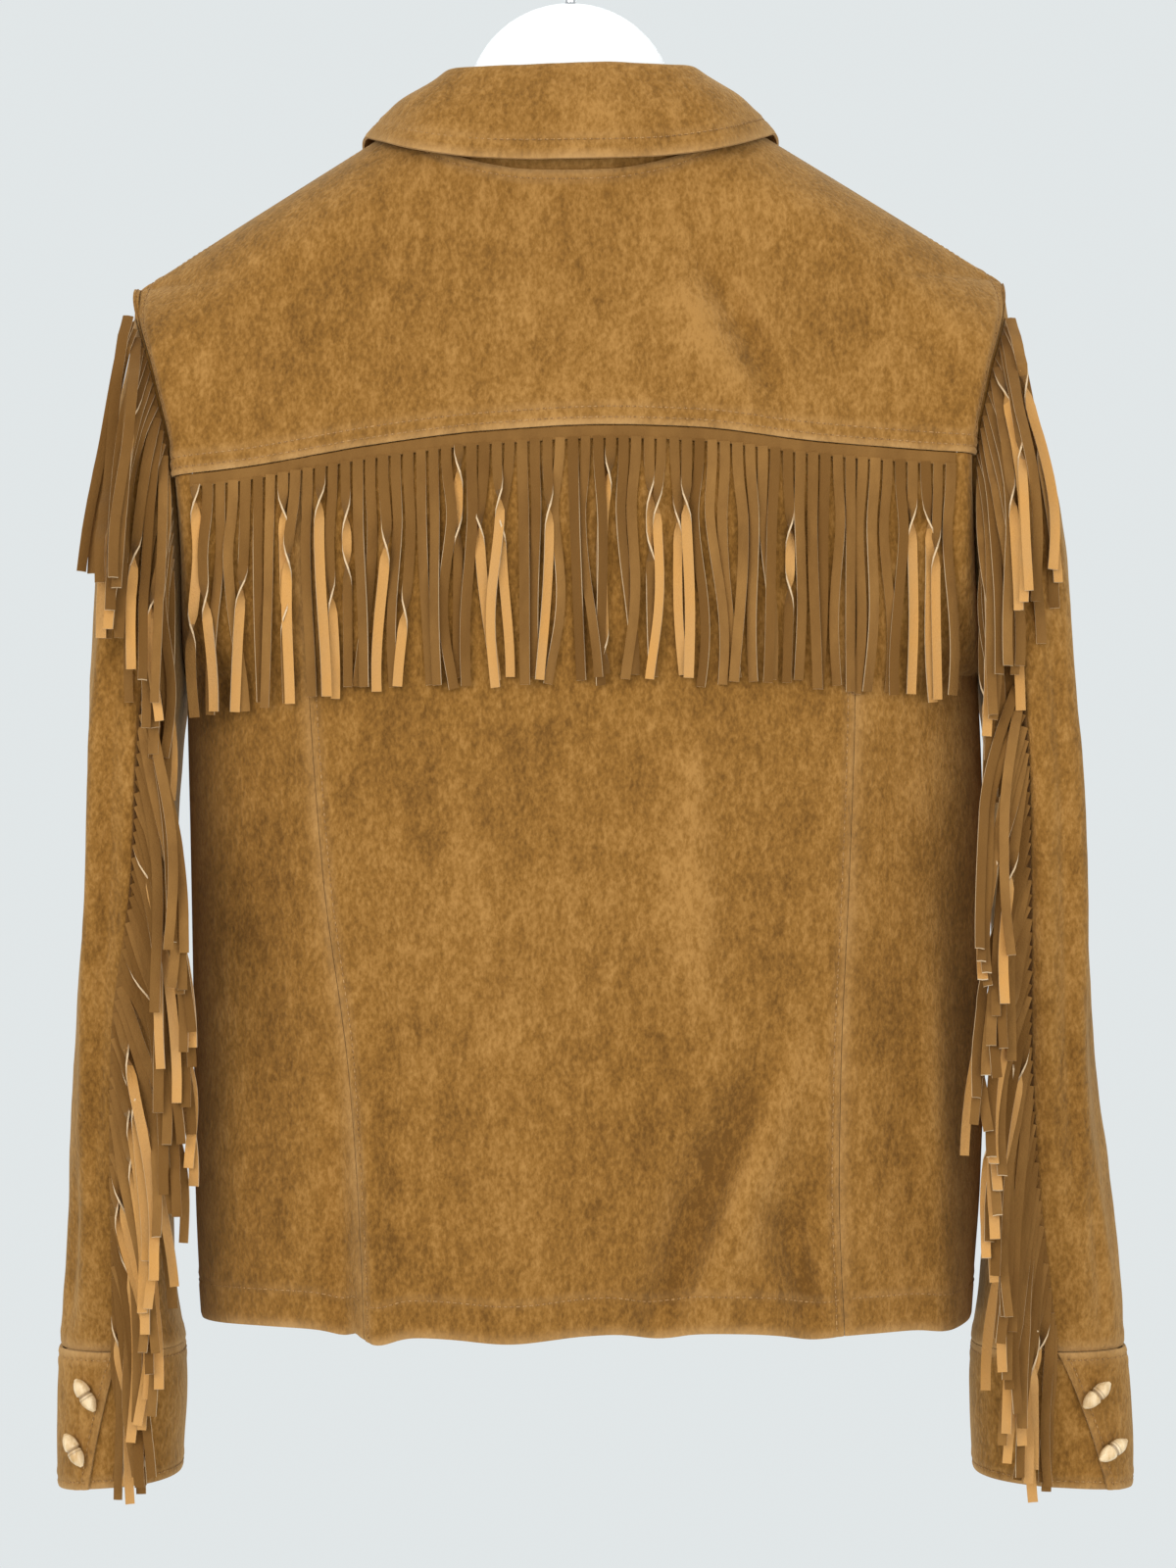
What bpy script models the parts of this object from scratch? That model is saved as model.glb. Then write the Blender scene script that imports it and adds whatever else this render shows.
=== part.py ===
"""A fringed suede jacket on a broad hanger, seen from the back along -Y.

The origin is the inside top of the hook, where the rail bears. +Z is up, the jacket's front
faces -Y and the wearer's left is +X. All sizes are in metres.
"""

import math

import bmesh
import bpy
import numpy as np
from mathutils import Vector
from mathutils.bvhtree import BVHTree

# Cloth
WALL = 0.0015
GAP = 0.0003
SLEEVE_GAP = 0.0008
SQUARE = 2.4  # exponent of the rounded sections: 2 is an ellipse

# Shoulders, neck and armholes
SHOULDER_HALF = 0.215
NECK_HALF = 0.085
NECK_TOP = -0.1262
SHOULDER_FALL = 0.62  # drop of the shoulder line for each metre outwards
LEAN = 0.01  # the wearer's left hangs this much lower for each metre outwards
ROUND_OVER = 0.045  # height over which the body rounds over the shoulder line
UNDERARM = -0.402
ARMHOLE_HALF = 0.042
SIDE_REACH = 8  # the armhole's depth fades this steeply across the body
SHARED_WALL_END = -0.36  # above this the body and the sleeve take their walls the same way
FRONT_NECK = -0.225
CLOSURE_HALF = 0.012

# Hem, sleeves and cuffs
HEM = -0.7195
SLEEVE_END = -0.734
CUFF_HEIGHT = 0.070
CUFF_TILT = 0.006

# Fringe
YOKE_PITCH = 0.0061
SEAM_PITCH = 0.0063
ROOT = 0.0034  # how much of a seam each strand takes
STRAND_WIDTH = 0.0046
STRAND_THICK = 0.0009
STRIP_HEIGHT = 0.006
STRIP_WIDTH = 0.0044
STRIP_THICK = 0.0012
STRIP_CLEAR = 0.0006
SEAM_CLEAR = 0.0018
SHINGLE = math.radians(36)  # how far the strands down a seam turn to lie over one another

# Hanger
HOOK_WIRE = 0.0055
HOOK_INSIDE = 0.038
DOME_TOP = -0.065
DOME_RADIUS = 0.0519
HANGER_HALF = 0.190
HANGER_DEPTH = 0.030

# Toggles
TOGGLE_LENGTH = 0.0185
TOGGLE_WIDTH = 0.0076

SUEDE = (0.37, 0.17, 0.045)
FRINGE_TAN = (0.40, 0.20, 0.06)
WOOD = (0.72, 0.53, 0.29)
WHITE = (0.86, 0.87, 0.87)
STEEL = (0.75, 0.76, 0.77)


def table(columns, *rows):
    """Named columns, sorted by the first one, which is also kept under the name key."""
    ordered = np.array(sorted(rows))
    found = {name: ordered[:, i] for i, name in enumerate(columns.split())}
    found["key"] = ordered[:, 0]
    return found


# The body at each height: half width to the left and right side line, and depth behind and in front
BODY = table(
    "z left right back front",
    (-0.740, 0.182, 0.198, 0.078, 0.072),
    (-0.700, 0.185, 0.201, 0.077, 0.071),
    (-0.650, 0.187, 0.2045, 0.076, 0.070),
    (-0.560, 0.188, 0.207, 0.075, 0.070),
    (-0.480, 0.1895, 0.206, 0.075, 0.071),
    (-0.402, 0.191, 0.203, 0.074, 0.071),
    (-0.350, 0.190, 0.198, 0.071, 0.069),
    (-0.300, 0.193, 0.196, 0.068, 0.066),
    (-0.255, 0.203, 0.204, 0.062, 0.060),
    (-0.209, 0.215, 0.215, 0.055, 0.055),
    (-0.150, 0.215, 0.215, 0.047, 0.047),
    (-0.100, 0.215, 0.215, 0.038, 0.038),
)

# Height of the back neckline at each distance from the middle
BACK_NECK = table(
    "x z",
    (0.000, -0.1560),
    (0.020, -0.1555),
    (0.040, -0.1525),
    (0.060, -0.1465),
    (0.075, -0.1385),
    (0.085, NECK_TOP),
)

# Height of the yoke's fringe seam across the back
YOKE_SEAM = table(
    "x z",
    (-0.200, -0.2950),
    (-0.165, -0.2925),
    (-0.115, -0.2890),
    (-0.060, -0.2830),
    (-0.020, -0.2820),
    (0.040, -0.2850),
    (0.095, -0.2915),
    (0.155, -0.3010),
    (0.195, -0.3060),
)

# Distance of the two princess seams of the back from the middle
PRINCESS = table(
    "z left right",
    (-0.730, 0.098, 0.133),
    (-0.650, 0.102, 0.130),
    (-0.590, 0.107, 0.131),
    (-0.500, 0.119, 0.135),
    (-0.410, 0.126, 0.138),
    (-0.280, 0.132, 0.139),
)

# Soft folds of the back: a line from its first to its last point, half width, and height
# outwards, which grows from nothing at the first point
FOLDS = table(
    "number x_top z_top x_end z_end half_width height",
    (0, 0.098, -0.560, 0.092, -0.730, 0.011, 0.0080),
    (1, 0.112, -0.560, 0.108, -0.730, 0.008, -0.0050),
    (2, -0.072, -0.590, -0.040, -0.730, 0.013, -0.0070),
    (3, -0.100, -0.640, -0.120, -0.730, 0.012, -0.0050),
    (4, -0.172, -0.540, -0.186, -0.730, 0.012, 0.0050),
    (5, -0.064, -0.180, -0.100, -0.258, 0.010, -0.0030),
    (6, -0.010, -0.600, 0.030, -0.730, 0.022, 0.0040),
)

# A sleeve at each height: its line nearest the body, its outer line, half depth, middle depth,
# and where its back seam runs
SLEEVE = table(
    "z in_left in_right out_left out_right depth middle seam_left seam_right",
    (-0.734, 0.1935, 0.2015, 0.2545, 0.2768, 0.037, -0.006, 0.2225, 0.2380),
    (-0.700, 0.1985, 0.2060, 0.2520, 0.2745, 0.044, -0.006, 0.2220, 0.2330),
    (-0.650, 0.2000, 0.2095, 0.2495, 0.2685, 0.051, -0.005, 0.2220, 0.2268),
    (-0.583, 0.2005, 0.2125, 0.2460, 0.2605, 0.058, -0.004, 0.2205, 0.2222),
    (-0.500, 0.1990, 0.2120, 0.2405, 0.2560, 0.066, -0.002, 0.2095, 0.2205),
    (-0.430, 0.1955, 0.2080, 0.2380, 0.2510, 0.072, 0.000, 0.2055, 0.2180),
    (-0.402, 0.1914, 0.2034, 0.2370, 0.2490, 0.072, 0.000, 0.2025, 0.2135),
    (-0.360, 0.1900, 0.1980, 0.2355, 0.2465, 0.069, 0.000, 0.1940, 0.2010),
    (-0.300, 0.1930, 0.1960, 0.2320, 0.2400, 0.060, 0.000, 0.1950, 0.1980),
    (-0.260, 0.2015, 0.2025, 0.2280, 0.2330, 0.048, 0.000, 0.2030, 0.2040),
    (-0.230, 0.2095, 0.2095, 0.2230, 0.2250, 0.032, 0.000, 0.2100, 0.2100),
    (-0.205, 0.2154, 0.2154, 0.2170, 0.2170, 0.010, 0.000, 0.2150, 0.2150),
)

# The rings of a sleeve: height on its outer line, height on its line nearest the body, and how
# far the armhole's shape has opened into the sleeve's own section
SLEEVE_RINGS = table(
    "number top low opened",
    (0, -0.2070, -0.4020, 0.00),
    (1, -0.2160, -0.4080, 0.30),
    (2, -0.2350, -0.4180, 0.62),
    (3, -0.2700, -0.4330, 0.86),
    (4, -0.3200, -0.4550, 1.00),
    (5, -0.4000, -0.4950, 1.00),
    (6, -0.5000, -0.5500, 1.00),
    (7, -0.5900, -0.6100, 1.00),
    (8, -0.6700, -0.6700, 1.00),
    (9, -0.7130, -0.7130, 1.00),
    (10, -0.7340, -0.7340, 1.00),
)

# A cuff at each height, in the same columns as the sleeve
CUFF = table(
    "z in_left in_right out_left out_right depth middle",
    (-0.810, 0.1960, 0.2040, 0.2535, 0.2790, 0.0350, -0.006),
    (-0.785, 0.1940, 0.2015, 0.2545, 0.2795, 0.0360, -0.006),
    (-0.755, 0.1925, 0.2005, 0.2548, 0.2785, 0.0368, -0.006),
    (-0.734, 0.1935, 0.2015, 0.2545, 0.2768, 0.0370, -0.006),
)

# The collar from the middle of the back, 0, to its front end, 1: where it leaves the neckline,
# its fold, and its free edge. The neckline is given by its x, and by 1 behind or -1 in front.
COLLAR = table(
    "station neck_x face fold_x fold_y fold_z edge_x edge_y edge_z",
    (0.00, 0.000, 1, 0.000, 0.0400, -0.1030, 0.000, 0.0570, -0.1520),
    (0.12, 0.022, 1, 0.022, 0.0395, -0.1032, 0.024, 0.0570, -0.1520),
    (0.24, 0.045, 1, 0.044, 0.0350, -0.1030, 0.050, 0.0550, -0.1505),
    (0.34, 0.064, 1, 0.057, 0.0260, -0.1018, 0.077, 0.0490, -0.1455),
    (0.44, 0.079, 1, 0.062, 0.0130, -0.1018, 0.095, 0.0270, -0.1375),
    (0.52, 0.085, 1, 0.063, 0.0000, -0.1035, 0.102, 0.0020, -0.1325),
    (0.60, 0.081, -1, 0.061, -0.0130, -0.1090, 0.104, -0.0210, -0.1380),
    (0.70, 0.070, -1, 0.054, -0.0270, -0.1230, 0.100, -0.0440, -0.1560),
    (0.82, 0.050, -1, 0.041, -0.0420, -0.1490, 0.090, -0.0570, -0.1880),
    (0.92, 0.026, -1, 0.024, -0.0530, -0.1830, 0.074, -0.0660, -0.2260),
    (1.00, 0.005, -1, 0.006, -0.0600, -0.2120, 0.058, -0.0700, -0.2580),
)

# The yoke fringe at each distance across: height of its tips
YOKE_TIPS = table(
    "x z",
    (-0.195, -0.4130),
    (-0.150, -0.4120),
    (-0.100, -0.4070),
    (-0.030, -0.4050),
    (0.060, -0.4070),
    (0.120, -0.4120),
    (0.160, -0.4190),
    (0.195, -0.4270),
)

# The fringes down the armholes and the sleeves' back seams, at each height of a strand's root:
# how far its tip lies outwards from the root to the side, how far it stands off, and its drop
ARMHOLE_FRINGE = table(
    "z side_left side_right off drop",
    (-0.225, 0.0240, 0.0300, 0.0120, 0.128),
    (-0.290, 0.0235, 0.0250, 0.0170, 0.122),
    (-0.362, 0.0180, 0.0180, 0.0220, 0.115),
)
SLEEVE_FRINGE = table(
    "z side_left side_right off drop",
    (-0.405, -0.0200, -0.0200, 0.0130, 0.120),
    (-0.500, -0.0270, -0.0260, 0.0130, 0.120),
    (-0.600, -0.0260, -0.0240, 0.0150, 0.120),
    (-0.680, -0.0140, -0.0140, 0.0190, 0.112),
    (-0.731, -0.0060, -0.0080, 0.0160, 0.070),
)

# Share of a toggle's half length, and of its half width, along its turned profile
TOGGLE_PROFILE = table(
    "along out",
    (-0.96, 0.22),
    (-0.78, 0.62),
    (-0.45, 0.93),
    (-0.14, 1.00),
    (-0.04, 0.80),
    (0.06, 0.97),
    (0.40, 0.95),
    (0.74, 0.64),
    (0.96, 0.24),
)


def read(rows, column, key):
    """The value of a column at a key, on a smooth curve that never overshoots its rows."""
    knots, values = rows["key"], rows[column]
    key = np.clip(key, knots[0], knots[-1])
    run = np.diff(knots)
    rise = np.diff(values) / run
    turn = rise[:-1] * rise[1:]
    total = rise[:-1] + rise[1:]
    safe = np.where(total == 0, 1, total)
    inner = np.where(turn > 0, 2 * turn / safe, 0)
    slope = np.concatenate([rise[:1], inner, rise[-1:]])
    i = np.clip(np.searchsorted(knots, key, side="right") - 1, 0, len(run) - 1)
    s = (key - knots[i]) / run[i]
    start = values[i] * (1 + 2 * s) * (1 - s) ** 2 + run[i] * slope[i] * s * (1 - s) ** 2
    end = values[i + 1] * s * s * (3 - 2 * s) - run[i] * slope[i + 1] * s * s * (1 - s)
    return start + end


def by_side(rows, name, z, sign):
    """A column pair such as left and right, chosen by the sign of x."""
    return np.where(sign > 0, read(rows, name + "left", z), read(rows, name + "right", z))


def ease(value):
    value = np.clip(value, 0, 1)
    return value * value * (3 - 2 * value)


def unit(vectors):
    return vectors / np.linalg.norm(vectors, axis=-1, keepdims=True)


def blend(a, b, share):
    return a + (b - a) * share


def power(value, exponent):
    return np.sign(value) * np.abs(value) ** exponent


def ridge(x):
    """Height of the shoulder line."""
    return NECK_TOP - SHOULDER_FALL * (np.abs(x) - NECK_HALF) - LEAN * x


def armhole_top(sign):
    return ridge(sign * SHOULDER_HALF)


def armhole_depth(z, sign):
    """Half depth of the armhole at a height, from the shoulder tip to the underarm."""
    middle = (armhole_top(sign) + UNDERARM) / 2
    half = (armhole_top(sign) - UNDERARM) / 2
    return ARMHOLE_HALF * np.sqrt(np.clip(1 - ((z - middle) / half) ** 2, 0, 1))


def fold_height(x, z):
    """How far the folds lift the back at a place."""
    lift = np.zeros(np.broadcast(x, z).shape)
    for i in range(len(FOLDS["key"])):
        row = {name: values[i] for name, values in FOLDS.items()}
        share = np.clip((row["z_top"] - z) / (row["z_top"] - row["z_end"]), 0, 1.1)
        line = blend(row["x_top"], row["x_end"], share)
        swell = np.exp(-(((x - line) / row["half_width"]) ** 2))
        fade = ease(share / 0.6)
        if row["z_end"] > UNDERARM:
            fade = np.sin(np.pi * np.clip(share, 0, 1))
        lift = lift + row["height"] * swell * fade
    return lift


def body_depth(face, x, z):
    """Depth of the body's outer surface at a place, before it rounds over the shoulders."""
    sign = np.sign(x)
    width = by_side(BODY, "", z, sign)
    side = np.where(z < UNDERARM + GAP, 0, armhole_depth(z, sign))
    depth = read(BODY, "back" if face > 0 else "front", z)
    share = np.clip(np.abs(x) / width, 0, 1)
    along = (1 - share**SQUARE) ** (1 / SQUARE)
    folds = fold_height(x, z) * np.clip(4 * along, 0, 1) if face > 0 else 0
    return depth * along + side * share**SIDE_REACH + folds


def rounded(drop):
    """Share of the full depth at a drop below the shoulder line."""
    share = np.clip(drop / ROUND_OVER, 0, 1)
    return np.sqrt(1 - (1 - share) ** 2)


def across(f, z):
    """x at a share f across the body, from -1 at the right side line to 1 at the left."""
    return power(np.sin(f * math.pi / 2), 2 / SQUARE) * by_side(BODY, "", z, np.sign(f))


def share_across(x, z):
    """The inverse of across."""
    share = np.clip(np.abs(x) / by_side(BODY, "", z, np.sign(x)), 0, 1)
    return np.sign(x) * np.arcsin(share ** (SQUARE / 2)) * 2 / math.pi


def body_point(face, f, z):
    x = across(f, z)
    y = body_depth(face, x, z) * rounded(ridge(x) - z) + GAP / 2
    return np.stack([x, face * y, z + 0 * x], axis=-1)


def body_normal(face, f, z):
    step, rise = 0.001, 0.0005
    top = np.minimum(z + rise, ridge(across(f, z)))
    along = body_point(face, np.clip(f + step, -1, 1), z) - body_point(face, np.clip(f - step, -1, 1), z)
    up = body_point(face, f, np.maximum(top, z)) - body_point(face, f, z - rise)
    normal = unit(np.cross(up, along) * face)
    at_line = (np.abs(f) > 0.999) & (z < UNDERARM) | (z > ridge(across(f, z)) - 1e-6)
    normal[..., 1] = np.where(at_line, 0, normal[..., 1])
    return unit(normal)


ARMHOLE_FACING = 0.55  # how far the wall at the armhole faces outwards, against round the armhole


def armhole_normal(face, f, z):
    """At the armhole, the direction that both the body and the sleeve take their wall from."""
    sign = np.sign(f)
    middle = (armhole_top(sign) + UNDERARM) / 2
    half = (armhole_top(sign) - UNDERARM) / 2
    up = np.clip((z - middle) / half, -1, 1)
    across = ARMHOLE_FACING * sign * np.ones_like(z)
    return unit(np.stack([across, face * np.sqrt(1 - up**2), np.clip(up, -0.1, 1)], axis=-1))


def new_material(name, colour, roughness, metallic=0.0):
    material = bpy.data.materials.new(name)
    material.use_nodes = True
    shader = material.node_tree.nodes["Principled BSDF"]
    shader.inputs["Base Color"].default_value = (*colour, 1)
    shader.inputs["Roughness"].default_value = roughness
    shader.inputs["Metallic"].default_value = metallic
    return material


def add_object(name, points, faces, material):
    mesh = bpy.data.meshes.new(name)
    mesh.from_pydata([tuple(point) for point in points], [], faces)
    work = bmesh.new()
    work.from_mesh(mesh)
    bmesh.ops.recalc_face_normals(work, faces=work.faces)
    if work.calc_volume(signed=True) < 0:
        bmesh.ops.reverse_faces(work, faces=work.faces)
    work.to_mesh(mesh)
    work.free()
    mesh.shade_smooth()
    mesh.set_sharp_from_angle(angle=math.radians(50))
    mesh.materials.append(material)
    obj = bpy.data.objects.new(name, mesh)
    bpy.context.scene.collection.objects.link(obj)
    return obj


def grid_faces(rows, columns, start, loop):
    """Quads over a grid of points, with its last column joined to its first on a loop."""
    faces = []
    for r in range(rows - 1):
        for c in range(columns if loop else columns - 1):
            d = (c + 1) % columns
            corners = (r * columns + c, r * columns + d, (r + 1) * columns + d, (r + 1) * columns + c)
            faces.append(tuple(start + corner for corner in corners))
    return faces


def add_wall(name, outer, inner, material, loop=False):
    """A closed wall between two grids of points."""
    rows, columns = outer.shape[:2]
    count = rows * columns
    faces = grid_faces(rows, columns, 0, loop)
    faces += [face[::-1] for face in grid_faces(rows, columns, count, loop)]
    rim = [[c for c in range(columns)], [(rows - 1) * columns + c for c in range(columns)]]
    if loop:
        rim = [edge + edge[:1] for edge in rim]
    else:
        rim.append([r * columns for r in range(rows)])
        rim.append([r * columns + columns - 1 for r in range(rows)])
    for edge in rim:
        for a, b in zip(edge, edge[1:]):
            faces.append((a, b, b + count, a + count))
    points = np.concatenate([outer.reshape(-1, 3), inner.reshape(-1, 3)])
    return add_object(name, points, faces, material)


# Shares of the armhole's half turn at which a ring of points lies, above and below the yoke seam
ABOVE_SEAM = np.array([0, 0.14, 0.30, 0.50, 0.74, 1])
BELOW_SEAM = np.array([0, 0.22, 0.46, 0.70, 0.88, 1])
# Heights below the underarm at which the body has a ring of points, as shares down to the hem
BELOW_UNDERARM = np.array([0.14, 0.32, 0.52, 0.72, 0.87, 1])


def seam_turn(sign):
    """Angle round the armhole, from the shoulder tip, at which the yoke seam meets it."""
    height = read(YOKE_SEAM, "z", sign * 0.195)
    middle = (armhole_top(sign) + UNDERARM) / 2
    half = (armhole_top(sign) - UNDERARM) / 2
    return math.acos((height - middle) / half)


def armhole_turns(sign):
    """The angles of the armhole's points, from the shoulder tip to the underarm."""
    turn = seam_turn(sign)
    return np.concatenate([turn * ABOVE_SEAM, turn + (math.pi - turn) * BELOW_SEAM[1:]])


def armhole_heights(sign):
    middle = (armhole_top(sign) + UNDERARM) / 2
    half = (armhole_top(sign) - UNDERARM) / 2
    return middle + half * np.cos(armhole_turns(sign))


def hem(x):
    """Height of the hem, which dips where a fold stands out."""
    return HEM - 0.5 * np.abs(fold_height(x, HEM)) - 0.0015 * np.sin(x * 34)


def side_levels(sign):
    """Heights of a panel's points along its armhole and side line, top to hem."""
    end = hem(across(sign * np.ones(1), np.full(1, HEM)))[0]
    return np.concatenate([armhole_heights(sign), UNDERARM + (end - UNDERARM) * BELOW_UNDERARM])


def row_shares(levels_of, first, last, f):
    """For each column f, the share of its height at which each row lies, equal on both sides."""
    shares = []
    for sign in (-1, 1):
        levels = levels_of(sign)[first : last + 1]
        shares.append((levels[0] - levels) / (levels[0] - levels[-1]))
    return blend(shares[0][:, None], shares[1][:, None], (f[None, :] + 1) / 2)


def end_of_columns(line, edges, inside):
    """The height at which each column of a panel meets a line that is given across."""
    z = np.full(inside.shape, -0.4)
    for _ in range(8):
        low, high = edges(z)
        z = line(across(blend(low, high, inside), z))
    return z


def add_panel(name, face, columns, first, last, top, bottom, edges, material, lift=None):
    """A piece of the body between two edges and two heights.

    columns holds the share across at its left and right of each column where the piece starts,
    edges gives those shares at any height, top and bottom give heights for places across.
    """
    columns = np.array(columns)
    start, end = columns[0], columns[-1]
    inside = (columns - start) / (end - start)
    shares = row_shares(side_levels, first, last, columns)
    ends = [end_of_columns(line, edges, inside) for line in (top, bottom)]
    z = blend(ends[0], ends[1], shares)
    low, high = edges(z)
    f = blend(low, high, inside[None, :])
    points = body_point(face, f, z)
    normals = body_normal(face, f, z)
    tilt = armhole_normal(face, f, z)
    at_armhole = (np.abs(f) > 0.9999) & (z > SHARED_WALL_END)
    normals = np.where(at_armhole[..., None], tilt, normals)
    if lift is not None:
        points = points + normals * lift(f, z, shares)[..., None]
    return add_wall(name, points, points - WALL * normals, material)


def back_top(x):
    neck = read(BACK_NECK, "z", np.abs(x)) - LEAN * x
    return np.where(np.abs(x) < NECK_HALF, neck, ridge(x))


def front_top(x):
    share = np.clip(np.abs(x) / NECK_HALF, 0, 1)
    neck = FRONT_NECK + (NECK_TOP - FRONT_NECK) * share**2.4 - LEAN * x
    return np.where(np.abs(x) < NECK_HALF, neck, ridge(x))


def yoke_bottom(x):
    return read(YOKE_SEAM, "z", x) + GAP / 2


def lower_top(x):
    return read(YOKE_SEAM, "z", x) - GAP / 2


def seam_share(z, sign, shift):
    x = by_side(PRINCESS, "", z, np.full(np.shape(z), sign)) * sign + shift
    return share_across(x, z)


NECK_CORNER = float(share_across(np.array(NECK_HALF), np.array(-0.2)))
SIDE_SHARES = (1.0, 0.93, 0.84, 0.73, 0.61)
LEFT_SEAM = float(seam_share(np.array(-0.296), 1, 0))
RIGHT_SEAM = float(seam_share(np.array(-0.290), -1, 0))
YOKE_ROWS = 5  # of the side's rows, those down to the yoke seam
LAST_ROW = 16
BESIDE_NECK = (0.30, 0.38)
UNDER_NECK = (-0.14, -0.07, 0.0, 0.07, 0.14)
CENTRE_SHARES = [RIGHT_SEAM] + [-share for share in BESIDE_NECK[::-1]] + [-NECK_CORNER] + list(UNDER_NECK)
CENTRE_SHARES += [NECK_CORNER] + list(BESIDE_NECK) + [LEFT_SEAM]


# The panels' columns along the neckline, from the shoulder to the middle
NECK_SHARES = np.array([NECK_CORNER, 0.14, 0.07, 0.0, -0.07])


def whole_width(z):
    return -1.0, 1.0


def centre_edges(z):
    return seam_share(z, -1, GAP / 2), seam_share(z, 1, -GAP / 2)


def left_edges(z):
    return seam_share(z, 1, GAP / 2), 1.0


def right_edges(z):
    return -1.0, seam_share(z, -1, -GAP / 2)


def yoke_lift(f, z, shares):
    """The yoke's lower edge stands off by the fringe's strip, whose top it covers."""
    return (STRIP_THICK + GAP) * ease((shares - 0.80) / 0.20) * (np.abs(f) < 0.99)


def add_back(material):
    right = [-share for share in SIDE_SHARES]
    left = list(SIDE_SHARES[::-1])
    every = right + CENTRE_SHARES + left
    add_panel("back_yoke", 1, every, 0, YOKE_ROWS, back_top, yoke_bottom, whole_width, material, yoke_lift)
    pieces = (
        ("back_centre", CENTRE_SHARES, centre_edges),
        ("back_side_left", [LEFT_SEAM] + left, left_edges),
        ("back_side_right", right + [RIGHT_SEAM], right_edges),
    )
    back = []
    for name, shares, edges in pieces:
        back.append(add_panel(name, 1, shares, YOKE_ROWS, LAST_ROW, lower_top, hem, edges, material))
    return back


def front_overlap(f):
    """How far the right front stands off where it lies over the left."""
    return (WALL + 2 * GAP) * ease((f + 0.14) / 0.06)


CLOSURE = float(share_across(np.array(CLOSURE_HALF), np.array(-0.4)))


def left_front_edges(z):
    return -CLOSURE, 1.0


def right_front_edges(z):
    return -1.0, CLOSURE


def right_front_lift(f, z, shares):
    return front_overlap(f)


def add_fronts(material):
    """The wearer's right front lies over the left one at the closure."""
    inner = (0.46, 0.34, NECK_CORNER, 0.14, 0.07)
    left = [-CLOSURE, 0.0] + list(inner[::-1]) + list(SIDE_SHARES[::-1])
    right = [-share for share in SIDE_SHARES + inner] + [0.0, CLOSURE]
    add_panel("front_left", -1, left, 0, LAST_ROW, front_top, hem, left_front_edges, material)
    over = right_front_lift
    add_panel("front_right", -1, right, 0, LAST_ROW, front_top, hem, right_front_edges, material, over)


# Sleeves and cuffs

def section(z, sign, turn):
    """A point of the sleeve's own section: turn 0 is its outer line, half a turn is next to the body."""
    inner = by_side(SLEEVE, "in_", z, sign)
    outer = by_side(SLEEVE, "out_", z, sign)
    share = (1 + power(np.cos(turn), 2 / SQUARE)) / 2
    x = blend(inner, outer, share) * sign
    y = read(SLEEVE, "middle", z) + read(SLEEVE, "depth", z) * power(np.sin(turn), 2 / SQUARE)
    return x, y


def ring_turns(sign):
    """The angles of a sleeve's points: behind from the top to the underarm, then back in front."""
    behind = armhole_turns(sign)
    return np.concatenate([behind, -behind[-2:0:-1]])


def sleeve_grid(sign, rings, turns):
    """Points of a sleeve for ring numbers, which may lie between the table's, and angles."""
    top = read(SLEEVE_RINGS, "top", rings)[:, None]
    low = read(SLEEVE_RINGS, "low", rings)[:, None]
    opened = read(SLEEVE_RINGS, "opened", rings)[:, None]
    cosine = np.cos(turns)[None, :]
    top = np.where(rings[:, None] == 0, armhole_top(sign), top)
    z = (top + low) / 2 + (top - low) / 2 * cosine
    own_x, own_y = section(z, sign, turns[None, :])
    seam_x = np.where(z > UNDERARM, by_side(BODY, "", z, sign), by_side(SLEEVE, "in_", z, sign)) * sign
    seam_x = seam_x + sign * SLEEVE_GAP
    seam_y = armhole_depth(z, sign) * np.sign(np.sin(turns))[None, :]
    seam_y = np.where(rings[:, None] == 0, seam_y, ARMHOLE_HALF * np.sin(turns)[None, :])
    x = blend(seam_x, own_x, opened)
    y = blend(seam_y, own_y, opened)
    return np.stack([x, y, z], axis=-1)


def loop_normals(points, sign):
    """Outward normals of a tube whose rows run down it and whose columns run round it."""
    along = np.roll(points, -1, axis=1) - np.roll(points, 1, axis=1)
    down = np.gradient(points, axis=0)
    return unit(np.cross(down, along) * sign)


def add_sleeve(name, sign, material):
    turns = ring_turns(sign)
    rings = SLEEVE_RINGS["key"]
    outer = sleeve_grid(sign, rings, turns)
    normals = loop_normals(outer, sign)
    face = np.where(np.sin(turns) >= 0, 1, -1)
    seam = np.stack([armhole_normal(f, np.array(sign * 1.0), z) for f, z in zip(face, outer[0, :, 2])])
    shared = outer[0, :, 2] > SHARED_WALL_END
    normals[0] = np.where(shared[:, None], seam, normals[0])
    return add_wall(name, outer, outer - WALL * normals, material, loop=True)


def sheet_normals(points, middle):
    """Normals of an open sheet, facing away from a point on the whole."""
    normals = unit(np.cross(np.gradient(points, axis=0), np.gradient(points, axis=1)))
    return normals * np.sign((normals * (points - middle)).sum())


CUFF_EDGE = {1: (1.62, 1.22), -1: (1.57, 1.00)}  # angle of the overlap's free edge, top and bottom
CUFF_OVERLAP = 0.95
CUFF_COLUMNS = 26
CUFF_ROWS = 4


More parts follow.
